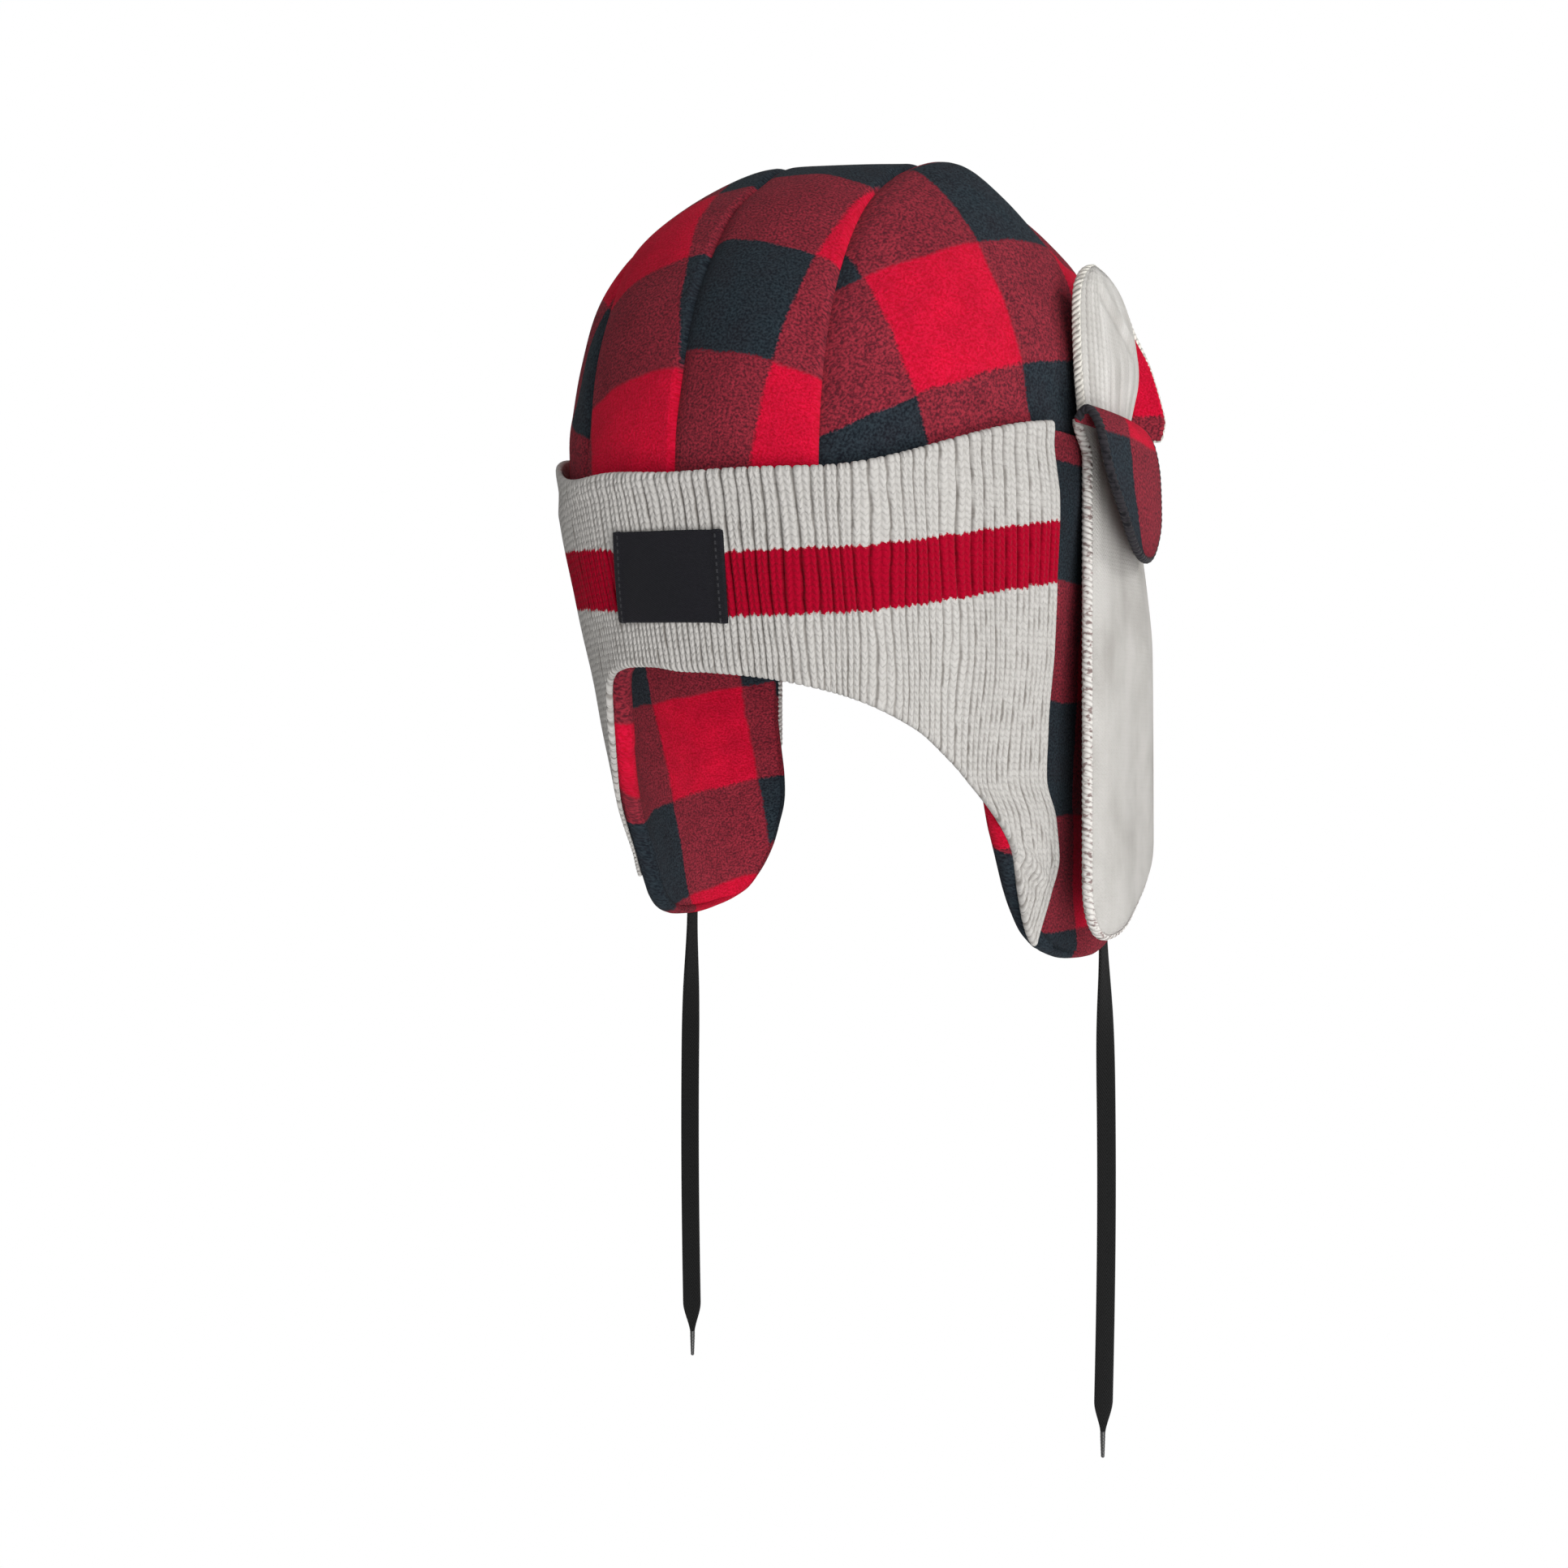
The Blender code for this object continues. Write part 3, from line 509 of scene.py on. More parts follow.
def make_mesh(name, points, faces, cloth, material):
    """Object from points in millimetres, turned so that its faces look outwards."""
    points = np.asarray(points, float) * MM
    first, second, third = (points[[face[k] for face in faces]] for k in range(3))
    fourth = points[[face[-1] for face in faces]]
    volume = np.einsum("ij,ij->", first, np.cross(second, third) + np.cross(third, fourth))
    if volume < 0.0:
        faces = [face[::-1] for face in faces]
    mesh = bpy.data.meshes.new(name)
    mesh.from_pydata(points.tolist(), [], faces)
    mesh.attributes.new("cloth", "FLOAT_VECTOR", "POINT").data.foreach_set("vector", np.ravel(cloth))
    mesh.shade_smooth()
    mesh.materials.append(material)
    thing = bpy.data.objects.new(name, mesh)
    bpy.context.scene.collection.objects.link(thing)
    return thing


def border(n, m):
    """Grid places round the edge of an n by m sheet, in order."""
    return ([(i, 0) for i in range(n)] + [(n - 1, j) for j in range(1, m)]
            + [(i, m - 1) for i in range(n - 2, -1, -1)] + [(0, j) for j in range(m - 2, 0, -1)])


def edge_frame(outer, inner, places):
    """Middle, half thickness and outward direction of a sheet's edge at the given grid places."""
    n, m = outer.shape[:2]
    i, j = np.array(places).T
    middle = 0.5 * (outer[i, j] + inner[i, j])
    within = 0.5 * (outer + inner)[np.clip(i, 1, n - 2), np.clip(j, 1, m - 2)]
    return middle, 0.5 * (outer[i, j] - inner[i, j]), normalised(middle - within)


def shell(name, outer, inner, cloth, material, roundness=0.8, steps=3):
    """Closed sheet between two grids of points, with a rounded edge."""
    n, m = outer.shape[:2]
    places = border(n, m)
    number = np.arange(n * m).reshape(n, m)
    corners = (number[:-1, :-1], number[1:, :-1], number[1:, 1:], number[:-1, 1:])
    faces = list(zip(*(corner.ravel().tolist() for corner in corners)))
    shift = n * m
    faces += [(p + shift, s + shift, r + shift, q + shift) for p, q, r, s in faces]
    middle, half, outward = edge_frame(outer, inner, places)
    reach = np.linalg.norm(half, axis=-1, keepdims=True) * roundness
    rings = [[int(number[place]) for place in places]]
    points, coordinates = [outer.reshape(-1, 3), inner.reshape(-1, 3)], [cloth.reshape(-1, 3)] * 2
    i, j = np.array(places).T
    for step in range(1, steps + 1):
        turn = pi * step / (steps + 1)
        points.append(middle + half * cos(turn) + outward * reach * sin(turn))
        coordinates.append(cloth[i, j])
        start = 2 * shift + (step - 1) * len(places)
        rings.append(list(range(start, start + len(places))))
    rings.append([k + shift for k in rings[0]])
    for near, far in zip(rings, rings[1:]):
        for k in range(len(places)):
            after = (k + 1) % len(places)
            faces.append((near[after], near[k], far[k], far[after]))
    return make_mesh(name, np.concatenate(points), faces, np.concatenate(coordinates), material)


def tube(name, rings, cloth, material):
    """Closed tube through rings of points, with a flat fan at each end."""
    number = np.arange(rings.shape[0] * rings.shape[1]).reshape(rings.shape[:2])
    after = np.roll(number, -1, axis=1)
    faces = np.stack((number[:-1], after[:-1], after[1:], number[1:]), -1).reshape(-1, 4).tolist()
    faces += [(b, a, number.size) for a, b in zip(number[0].tolist(), after[0].tolist())]
    faces += [(a, b, number.size + 1) for a, b in zip(number[-1].tolist(), after[-1].tolist())]
    points, coordinates = (np.concatenate((grid.reshape(-1, 3), grid[:1].mean(1), grid[-1:].mean(1)))
                           for grid in (rings, cloth))
    return make_mesh(name, points, faces, coordinates, material)


class Graph:
    """Adds shader nodes to a new material and joins them up."""

    def __init__(self, name, **constants):
        self.material = bpy.data.materials.new(name)
        self.material.use_nodes = True
        self.tree = self.material.node_tree
        self.shader = self.tree.nodes["Principled BSDF"]
        for socket, value in constants.items():
            self.shader.inputs[socket.replace("_", " ")].default_value = value

    def put(self, socket, value):
        """Join a socket to another one, or set it to a number or a colour."""
        if isinstance(value, bpy.types.NodeSocket):
            self.tree.links.new(value, socket)
        else:
            socket.default_value = (*value, 1.0) if isinstance(value, tuple) else value

    def add(self, kind, *values, **settings):
        """New node with its settings made and its first inputs filled."""
        node = self.tree.nodes.new("ShaderNode" + kind)
        for setting, value in settings.items():
            setattr(node, setting, value)
        for socket, value in zip(node.inputs, values):
            self.put(socket, value)
        return node

    def cloth(self):
        return self.add("Attribute", attribute_name="cloth").outputs["Vector"]

    def parts(self, vector):
        return self.add("SeparateXYZ", vector).outputs

    def joined(self, x, y, z):
        return self.add("CombineXYZ", x, y, z).outputs[0]

    def math(self, operation, *values):
        return self.add("Math", *values, operation=operation).outputs[0]

    def plus(self, a, b):
        return self.math("ADD", a, b)

    def times(self, a, b):
        return self.math("MULTIPLY", a, b)

    def scaled(self, value, by, start):
        return self.math("MULTIPLY_ADD", value, by, start)

    def rest(self, share):
        return self.math("SUBTRACT", 1.0, share)

    def wave(self, value):
        """0 at whole values and 1 half way between them."""
        return self.math("ABSOLUTE", self.math("SINE", self.times(value, pi)))

    def away(self, value):
        """0 half way between whole values and 1 at them."""
        return self.times(self.math("ABSOLUTE", self.math("SUBTRACT", self.math("FRACT", value), 0.5)), 2.0)

    def noise(self, vector, scale, detail=2.0):
        node = self.add("TexNoise", vector)
        node.inputs["Scale"].default_value = scale
        node.inputs["Detail"].default_value = detail
        return node.outputs[0]

    def step(self, value, low, high):
        """Smooth step of value between low and high."""
        return self.add("MapRange", value, low, high, interpolation_type="SMOOTHSTEP").outputs[0]

    def blend(self, share, a, b):
        """Mixed colour."""
        node = self.add("Mix", share, data_type="RGBA")
        self.put(node.inputs[6], a)
        self.put(node.inputs[7], b)
        return node.outputs[2]

    def bump(self, height, distance):
        node = self.tree.nodes.new("ShaderNodeBump")
        node.inputs["Strength"].default_value = 1.0
        node.inputs["Distance"].default_value = distance * MM
        self.put(node.inputs["Height"], height)
        self.put(self.shader.inputs["Normal"], node.outputs[0])

    def colour(self, value):
        self.put(self.shader.inputs["Base Color"], value)


def fleece_material(name, painted_light):
    """Napped check fleece: black where two dark stripes cross, speckled where one runs, red elsewhere."""
    g = Graph(name, Roughness=0.95, Specular_IOR_Level=0.03, Sheen_Weight=0.02, Sheen_Roughness=0.6)
    cloth = g.cloth()
    first, second, _ = g.parts(cloth)
    wander = g.noise(cloth, 0.07)
    fibre = g.noise(cloth, 1.3, 3.0)
    fine = g.noise(cloth, 3.0)
    patch = g.noise(cloth, 0.12, 3.0)

    def stripe(value):
        """1 on dark stripes and 0 between them, with soft, uneven edges."""
        value = g.plus(value, g.scaled(wander, 3.0, -1.5))
        value = g.plus(value, g.scaled(fibre, 2.4, -1.2))
        return g.step(g.math("SINE", g.times(value, pi / CHECK)), -0.06, 0.06)

    def shade(tones):
        # Painted light: every tone is scaled by this factor, 1 on the outside and more on the lining
        dark, light = (tuple(painted_light * part for part in tone) for tone in tones)
        return g.blend(g.step(fibre, 0.3, 0.7), dark, light)

    one, two = stripe(first), stripe(second)
    both = g.times(one, two)
    either = g.math("SUBTRACT", g.math("MAXIMUM", one, two), both)
    red, maroon, black = (shade(tones) for tones in (FLEECE_RED, FLEECE_MAROON, FLEECE_BLACK))
    colour = g.blend(both, g.blend(either, red, maroon), black)
    g.colour(g.blend(g.scaled(patch, 0.5, -0.12), colour, FLEECE_WORN))
    g.bump(g.plus(fibre, g.times(fine, 0.5)), 0.6)
    return g.material


def stitches(g, wale, course, leg):
    """V stitches, from 0 in their hollows to 1 on the yarn, with their unevenness and their fuzz."""
    place = g.joined(g.times(wale, 2.0), g.times(course, 2.0), 0.0)
    wander, fuzz = g.noise(place, 0.5, 3.0), g.noise(place, 2.6, 3.0)
    row = g.plus(g.plus(course, g.times(leg, -0.6)), g.times(wander, 0.9))
    return g.wave(row), wander, fuzz


def knit_material():
    """Cream wool rib with a red stripe: two wales to a rib above the stripe and single wales below it, with
    painted shade in the troughs and in the hollows between stitches.
    """
    g = Graph("rib_knit", **WOOL)
    wale, course, below = g.parts(g.cloth())
    wobble = g.noise(g.joined(g.times(wale, 0.6), g.times(course, 0.35), 5.0), 1.0, 1.0)
    bent = g.plus(wale, g.scaled(wobble, 0.6, -0.3))
    deep = g.noise(g.joined(g.times(wale, 0.4), g.times(course, 0.12), 9.0), 1.0)
    leg = g.away(bent)
    rib = g.away(g.times(bent, 0.5))
    yarn, wander, fuzz = stitches(g, wale, course, leg)
    plain = g.step(below, *(STRIPE_HEIGHT + end for end in RIB_CHANGE))
    single = g.times(g.step(leg, 0.6, 1.0), g.scaled(plain, 0.35, 0.3))
    # Painted shade: the troughs between ribs and between single wales, and the hollows between stitches, are
    # darkened in colour
    trough_shade = g.math("MAXIMUM", g.step(rib, 0.74, 0.98), single)
    hollow_shade = g.rest(g.step(yarn, 0.0, 0.45))
    dark = g.math("MAXIMUM", g.times(trough_shade, 0.85), g.times(hollow_shade, 0.22))
    dark = g.times(dark, g.scaled(deep, 0.9, 0.4))
    cream = g.blend(dark, g.blend(wander, *KNIT_CREAM), CREAM_TROUGH_SHADE)
    red = g.blend(dark, g.blend(fuzz, *KNIT_RED), RED_TROUGH_SHADE)
    each = g.noise(g.joined(g.math("FLOOR", wale), 0.0, 7.0), 0.9, 0.0)
    tooth = g.plus(g.scaled(leg, 0.9, -0.45), g.scaled(each, 1.6, -0.8))
    place = g.plus(g.plus(below, tooth), g.scaled(fuzz, 1.6, -0.8))
    under = g.step(place, STRIPE_HEIGHT - STRIPE_EDGE, STRIPE_HEIGHT + STRIPE_EDGE)
    inside = g.times(g.step(place, -STRIPE_EDGE, STRIPE_EDGE), g.rest(under))
    g.colour(g.blend(inside, cream, red))
    g.bump(g.plus(g.times(yarn, 0.8), g.times(fuzz, 0.4)), 0.32)
    return g.material


def jersey_material():
    """Fine cream jersey, smooth but for faint wales and stitches; painted shade darkens it between the wales
    and by the third cloth coordinate, with random fuzz.
    """
    g = Graph("jersey", **WOOL)
    wale, course, hollow_shade = g.parts(g.cloth())
    leg = g.away(wale)
    yarn, wander, fuzz = stitches(g, wale, course, leg)
    cloudy = g.noise(g.joined(wale, g.times(course, 0.4), 3.0), 0.12, 4.0)
    cream = g.blend(g.step(cloudy, 0.25, 0.75), *JERSEY_CREAM)
    dark = g.plus(g.times(g.step(leg, 0.5, 1.0), 0.12), g.times(fuzz, 0.2))
    g.colour(g.blend(g.math("MAXIMUM", dark, hollow_shade), cream, JERSEY_SHADE))
    g.bump(g.plus(g.times(yarn, 0.5), fuzz), 0.22)
    return g.material


def thread_material(name, dark, light, mottle):
    """Overlock thread: slanted loops along an edge, in two mottled tones, with painted shade in the gaps
    between the loops.
    """
    g = Graph(name, Roughness=0.85, Specular_IOR_Level=0.12, Sheen_Weight=0.05)
    along, around, _ = g.parts(g.cloth())
    loop = g.wave(g.plus(g.times(along, 0.55), g.times(around, 1.0)))
    spot = g.noise(g.joined(along, g.times(around, 3.0), 0.0), mottle, 3.0)
    colour = g.blend(g.step(spot, 0.36, 0.50), dark, light)
    # Painted shade: the gaps between the loops are darkened towards the dark tone
    g.colour(g.blend(g.times(g.rest(g.step(loop, 0.0, 0.5)), 0.5), colour, dark))
    g.bump(g.plus(loop, g.times(spot, 0.4)), 0.5)
    return g.material


def lace_material():
    """Flat black braid in a herringbone, darker in the grooves between strands as painted shade, with random
    fuzz.
    """
    g = Graph("lace_braid", Roughness=0.8, Specular_IOR_Level=0.12, Sheen_Weight=0.02)
    across, along, _ = g.parts(g.cloth())
    plait = g.wave(g.plus(g.times(along, 0.75), g.times(g.math("ABSOLUTE", across), 1.6)))
    fuzz = g.noise(g.joined(across, along, 0.0), 3.0, 3.0)
    # Painted shade in the braid's grooves, times random fuzz, picks between the two black tones
    g.colour(g.blend(g.times(plait, fuzz), *LACE_BLACK))
    g.bump(plait, 0.35)
    return g.material


def label_material():
    """Black damask weave, with a row of stitches down each folded end."""
    g = Graph("label_weave", Roughness=0.75, Specular_IOR_Level=0.12)
    cloth = g.cloth()
    across, up, near = g.parts(cloth)
    twill = g.math("SINE", g.times(g.plus(across, g.times(up, 2.0)), 5.0))
    fuzz = g.noise(cloth, 1.6, 3.0)
    row = g.rest(g.step(g.math("ABSOLUTE", g.math("SUBTRACT", near, LABEL_STITCHES)), 0.2, 0.4))
    stitch = g.times(row, g.step(g.math("SINE", g.times(up, 3.0)), -0.4, 0.0))
    g.colour(g.blend(stitch, g.blend(fuzz, *LABEL_BLACK), LABEL_THREAD))
    g.bump(g.plus(g.plus(twill, fuzz), g.times(stitch, 3.0)), 0.12)
    return g.material


def aglet_material():
    """Black shrunk plastic."""
    g = Graph("aglet_plastic", Roughness=0.3)
    g.colour(g.blend(g.noise(g.cloth(), 0.8), *AGLET_BLACK))
    return g.material


def dress(thing, nodes, body=None, flap=None):
    """Put a piece on its body, or, when it lies on a flap, bake its place into its mesh; either way hide its
    CAD nodes in its place.
    """
    if flap:
        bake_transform(thing)
    else:
        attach(thing, body)
    if nodes:
        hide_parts(*nodes)
    return thing


def make_camera():
    turn = radians(CAMERA_TURN)
    forward, right = Vector((-sin(turn), cos(turn), 0.0)), Vector((cos(turn), sin(turn), 0.0))
    data = bpy.data.cameras.new("camera")
    data.sensor_width = 36.0
    data.lens = CAMERA_LENS
    camera = bpy.data.objects.new("camera", data)
    camera.location = right * CAMERA_SHIFT - forward * CAMERA_DISTANCE + Vector((0.0, 0.0, CAMERA_HEIGHT))
    camera.rotation_euler = (pi / 2.0, 0.0, turn)
    bpy.context.scene.collection.objects.link(camera)
    bpy.context.scene.camera = camera


def area_light(name, place, size, power):
    """Square lamp that looks at the hat."""
    data = bpy.data.lights.new(name, "AREA")
    data.size = size
    data.energy = power
    lamp = bpy.data.objects.new(name, data)
    lamp.location = place
    lamp.rotation_euler = (Vector((0.0, 0.0, 0.0)) - Vector(place)).to_track_quat("-Z", "Y").to_euler()
    bpy.context.scene.collection.objects.link(lamp)


def white_to_camera(tree, other, output):
    """Show plain white to the camera and in reflections, and the other shader to everything else."""
    rays = tree.nodes.new("ShaderNodeLightPath").outputs
    seen = rays["Is Camera Ray"]
    for ray in ("Is Glossy Ray", "Is Transmission Ray"):
        either = tree.nodes.new("ShaderNodeMath")
        either.operation = "MAXIMUM"
        tree.links.new(seen, either.inputs[0])
        tree.links.new(rays[ray], either.inputs[1])
        seen = either.outputs[0]
    glow = "Background" if output.bl_idname == "ShaderNodeOutputWorld" else "Emission"
    white = tree.nodes.new("ShaderNode" + glow)
    white.inputs["Color"].default_value = WHITE
    white.inputs["Strength"].default_value = 1.0
    choice = tree.nodes.new("ShaderNodeMixShader")
    for socket, value in zip(choice.inputs, (seen, other, white.outputs[0])):
        tree.links.new(value, socket)
    tree.links.new(choice.outputs[0], output.inputs["Surface"])


def make_studio():
    """White surroundings, soft lamps and a pale floor well below the hanging laces."""
    bpy.context.scene.view_settings.view_transform = "Standard"
    world = bpy.data.worlds.new("studio")
    bpy.context.scene.world = world
    world.use_nodes = True
    nodes = world.node_tree.nodes
    nodes["Background"].inputs["Color"].default_value = WHITE
    nodes["Background"].inputs["Strength"].default_value = AMBIENT
    white_to_camera(world.node_tree, nodes["Background"].outputs[0], nodes["World Output"])
    bpy.ops.mesh.primitive_circle_add(vertices=64, radius=3.0, fill_type="NGON",
                                      location=(0.0, 0.0, FLOOR_HEIGHT))
    floor = bpy.context.object
    floor.name = "floor"
    g = Graph("pale_floor", Base_Color=FLOOR_GREY, Roughness=0.9)
    white_to_camera(g.tree, g.shader.outputs[0], g.tree.nodes["Material Output"])
    floor.data.materials.append(g.material)
    for lamp in LAMPS:
        area_light(*lamp)


def braided(value):
    """Cosine or sine of a turn round a lace, squared off to a flat braid."""
    return np.sign(value) * np.abs(value) ** LACE_SQUARENESS


def make_lace(side_name, lace_look, aglet_look):
    """Flat braid that leaves the hem edgewise and turns as it hangs, with its aglet."""
    side, body = SIDES[side_name], side_name + "_lace"
    length, angle = LACE_LENGTHS[side_name], LACE_ANGLES[side_name]
    top = wall(angle, hem_line(angle, side_name) - GAP, LACE_OUT, side)
    ahead = wall(angle + 1.0, hem_line(angle + 1.0, side_name) - GAP, LACE_OUT, side)
    slope = (ahead[2] - top[2]) / (ahead[1] - top[1])
    v, turn = pairs(shares(140), circle(20))
    half = mix(AGLET_RADIUS, LACE_WIDTH / 2.0, ease(length * (1.0 - v) / LACE_TAPER))
    across, out = half * braided(np.cos(turn)), LACE_THICK / 2.0 * braided(np.sin(turn))
    twist = np.radians(mix(90.0, LACE_TURNS[side_name], ease(length * v / LACE_TURN_LENGTH)))
    view, sway = radians(CAMERA_TURN), LACE_SWAY[side_name] * np.sin(pi * v)
    middle = np.stack((top[0] + sway * cos(view), top[1] + sway * sin(view), top[2] - length * v), -1)
    rings = middle + np.stack((side * (across * np.cos(twist) - out * np.sin(twist)),
                               across * np.sin(twist) + out * np.cos(twist), slope * across * (1.0 - v)), -1)
    cloth = np.stack((across, length * v, np.sign(out)), -1)
    lace = tube("braid_" + side_name, rings, cloth, lace_look)
    dress(lace, ["lace_" + side_name], body)

    down, turn = pairs(np.linspace(-AGLET_OVERLAP, AGLET_LENGTH, 28), circle(20))
    radius = mix(AGLET_RADIUS + 0.12, AGLET_TIP_RADIUS, np.clip(down / AGLET_LENGTH, 0.0, 1.0))
    radius = radius * (1.0 + 0.04 * np.cos(2.0 * pi * down / AGLET_RIDGE))
    radius = np.where(down > AGLET_LENGTH - 0.3, radius * 0.7, radius)
    rings = np.stack((top[0] + radius * np.cos(turn), top[1] + radius * np.sin(turn),
                      top[2] - length - GAP - down), -1)
    aglet = tube("tip_" + side_name, rings, rings, aglet_look)
    dress(aglet, ["aglet_" + side_name], body)


def seam_shape(distance, over):
    """Height of a panel near a seam: the upper panel ends in a rounded fold, the lower one runs under it."""
    if over:
        roll = SEAM_ROLL * np.clip(1.0 - distance / SEAM_ROLL_WIDTH, 0.0, 1.0) ** 2
        return SEAM_PROUD * np.exp(-distance / SEAM_FADE) - roll
    return -SEAM_TUCK * np.clip(1.0 - distance / SEAM_TUCK_WIDTH, 0.0, 1.0) ** 2


def swelling(points):
    """How far the crown is filled out at its points."""
    return sum(height * np.exp(-np.sum((points - np.array(middle)) ** 2, axis=-1) / reach ** 2)
               for middle, height, reach in SWELLS)


def make_crown(look, lit_lining_look):
    """Four fleece panels sewn front to back, and the lining in two halves."""
    for name, side in SIDES.items():
        width = STRIP_WIDTHS[name]
        u, v = pairs(crowded(61), shares(150))
        middle = -side * MIDDLE_OFF * (1.0 - v) ** 1.5
        x = mix(middle, width, u)
        seams = seam_shape(x - middle, name == "right") + seam_shape(width - x, True)
        crown_panel(name, side, "strip", x, v, STRIP_PUFF * (1.0 - (2.0 * u - 1.0) ** 2), seams, look)
        across, along = pairs(np.sin(0.5 * pi * shares(90)) ** 1.3, shares(140))
        x = mix(width, widest_x(), across)
        puff = SIDE_PUFF * (1.0 - (1.0 - np.clip(2.0 * across, 0.0, 1.0)) ** 2)
        crown_panel(name, side, "crown", x, along, puff, seam_shape(x - width, False), look)
        turn, rise = pairs(np.linspace(0.0, pi, 90), shares(40))
        low, high = np.zeros((90, 1)), np.full((90, 1), 0.5 * pi)
        foot = halve(lambda tilt: above_cuff(bowl(turn[:, :1], tilt, 0.0)) > 0.0, low, high)
        tilt = mix(foot, 0.5 * pi, rise)
        inner, outer = (bowl(turn, tilt, grow) * (side, 1.0, 1.0) for grow in CROWN_LINING)
        cloth = checked("crown_lining", outer[..., 0], outer[..., 1])
        piece = shell("crown_inside_" + name, outer, inner, cloth, lit_lining_look, roundness=0.0, steps=1)
        dress(piece, ["crown_lining"], "hat")


def crown_panel(name, side, kind, x, v, puff, seams, look):
    """One crown panel over slices x and shares v from front to back."""
    turn = mix(*foot_turns(x[:, :1]), v)
    base = dome(x, turn, 0.0)
    lift = ease((above_cuff(base) - CROWN_TUCK) / PUFF_START)
    puff = puff + swelling(base * (side, 1.0, 1.0)) + CLOTH_WAVE * ripple(base)
    outer, inner = (dome(x, turn, grow) * (side, 1.0, 1.0) for grow in (puff * lift + seams, FLEECE[0]))
    if kind == "strip":
        run = run_along(outer[len(outer) // 2])
        cloth = checked("strip_" + name, x, np.broadcast_to(run, x.shape), 3.0 * side)
    else:
        cloth = checked("crown_" + name, *unrolled(outer, side), 11.0 * side)
    node = {"strip": "crown_strip_", "crown": "crown_side_"}[kind]
    piece = shell(kind + "_panel_" + name, outer, inner, cloth, look)
    dress(piece, [node + name], "hat")


def unrolled(points, side):
    """A crown side laid flat about the middle of its front half: distances towards the back and upwards."""
    centre, normal = (np.array(part) * (side, 1.0, 1.0) for part in (SPREAD_CENTRE, SPREAD_NORMAL))
    back = normalised(np.array((-normal[1] * side, normal[0] * side, 0.0)))
    up = np.cross(normal, back) * side
    away = points - centre
    chord = np.maximum(np.linalg.norm(away, axis=-1), 1e-6)
    half = np.arcsin(np.clip(np.abs(away @ normal) / chord, 0.0, 0.99))
    flat = np.maximum(np.hypot(away @ back, away @ up), 1e-6)
    stretch = chord * half / np.maximum(np.sin(half), 1e-6) / flat
    return (away @ back) * stretch, (away @ up) * stretch


def bowl(turn, tilt, grow):
    """Crown points by compass direction and tilt."""
    level = np.abs(np.cos(tilt)) ** (2.0 / CROWN_SQUARENESS)
    rise = np.abs(np.sin(tilt)) ** (2.0 / CROWN_SQUARENESS)
    x = (CROWN_HALF_WIDTH + grow) * level * np.sin(turn)
    y = CROWN_LEAN * rise * rise - (CROWN_HALF_LENGTH + grow) * level * np.cos(turn)
    return np.stack(np.broadcast_arrays(x, y, CROWN_FOOT + (CROWN_RISE + grow) * rise), -1)


def hem_columns(name, count):
    """Angles from front to back, spaced evenly along the hem."""
    fine = np.linspace(0.0, 180.0, 4000)
    run = np.hypot(np.diff(fine) * radians(COLUMN_RADIUS), np.diff(hem_line(fine, name)))
    run = np.concatenate(([0.0], np.cumsum(run)))
    return np.interp(np.linspace(0.0, run[-1], count), run, fine)


def make_sides(look, lit_lining_look):
    """Fleece wall with its ear flap, and its lining, one half per side."""
    for name, side in SIDES.items():
        columns = hem_columns(name, 280)
        wall_piece("side", name, side, columns, FLEECE, look,
                   ["skirt_" + name, "flap_" + name])
        wall_piece("lining", name, side, columns, LINING, lit_lining_look,
                   ["skirt_lining_" + name, "flap_lining_" + name])


def wall_piece(kind, name, side, columns, layer, material, nodes):
    """Cloth on the skirt wall over the given columns, from the hem to under the crown's edge."""
    angle, v = pairs(columns, crowded(80))
    top = cuff_line(angle) - CROWN_TUCK - GAP
    height = mix(cloth_edge(angle, name), top, v)
    wave = CLOTH_WAVE * ripple(wall(angle, height, 0.0, side)) * ease((top - height) / 20.0)
    inner, outer = (wall(angle, height, out + wave, side) for out in layer)
    cloth = checked(kind + "_" + name, np.radians(angle) * CHECK_RADIUS, height, 20.0 * side + layer[0])
    piece = shell(kind + "_cloth_" + name, outer, inner, cloth, material, roundness=0.5)
    dress(piece, nodes, flap=name + "_flap")


def edge_rings(middle, across, outward, thickness, width, grow):
    """Rings round the edge of a sheet: thickness across the sheet, width along its face."""
    across = normalised(across)
    aside = normalised(np.cross(across, np.gradient(middle, axis=0)))
    aside = aside * np.sign(np.sum(aside * outward))
    turn = circle(EDGE_SIDES)
    return (middle[:, None] + across[:, None] * (thickness * grow * np.cos(turn))[..., None]
            + aside[:, None] * (width * grow * np.sin(turn))[..., None])


def make_rims(look):
    """Rolled edge that closes the fleece and its lining round each ear flap and along the back."""
    for name, side in SIDES.items():
        angle = hem_columns(name, 500)
        angle = angle[angle > RIM_START[name]]
        first = np.radians(angle) * CHECK_RADIUS
        rim_piece("rim_", name, side, angle, np.ones(len(angle)), RIM_BESIDE[name], first, look)
        height = cloth_edge(angle, name)
        height = height[:np.argmax(height < ROLL_ENDS[name])]
        full = ease((height - ROLL_ENDS[name]) / ROLL_NARROWS[name])
        first = height if name == "left" else 0.0 * height
        rim_piece("roll_", name, side, angle[:len(height)], ROLL_GROW * mix(ROLL_END_SIZE, 1.0, full),
                  "roll_" + name, first, look)


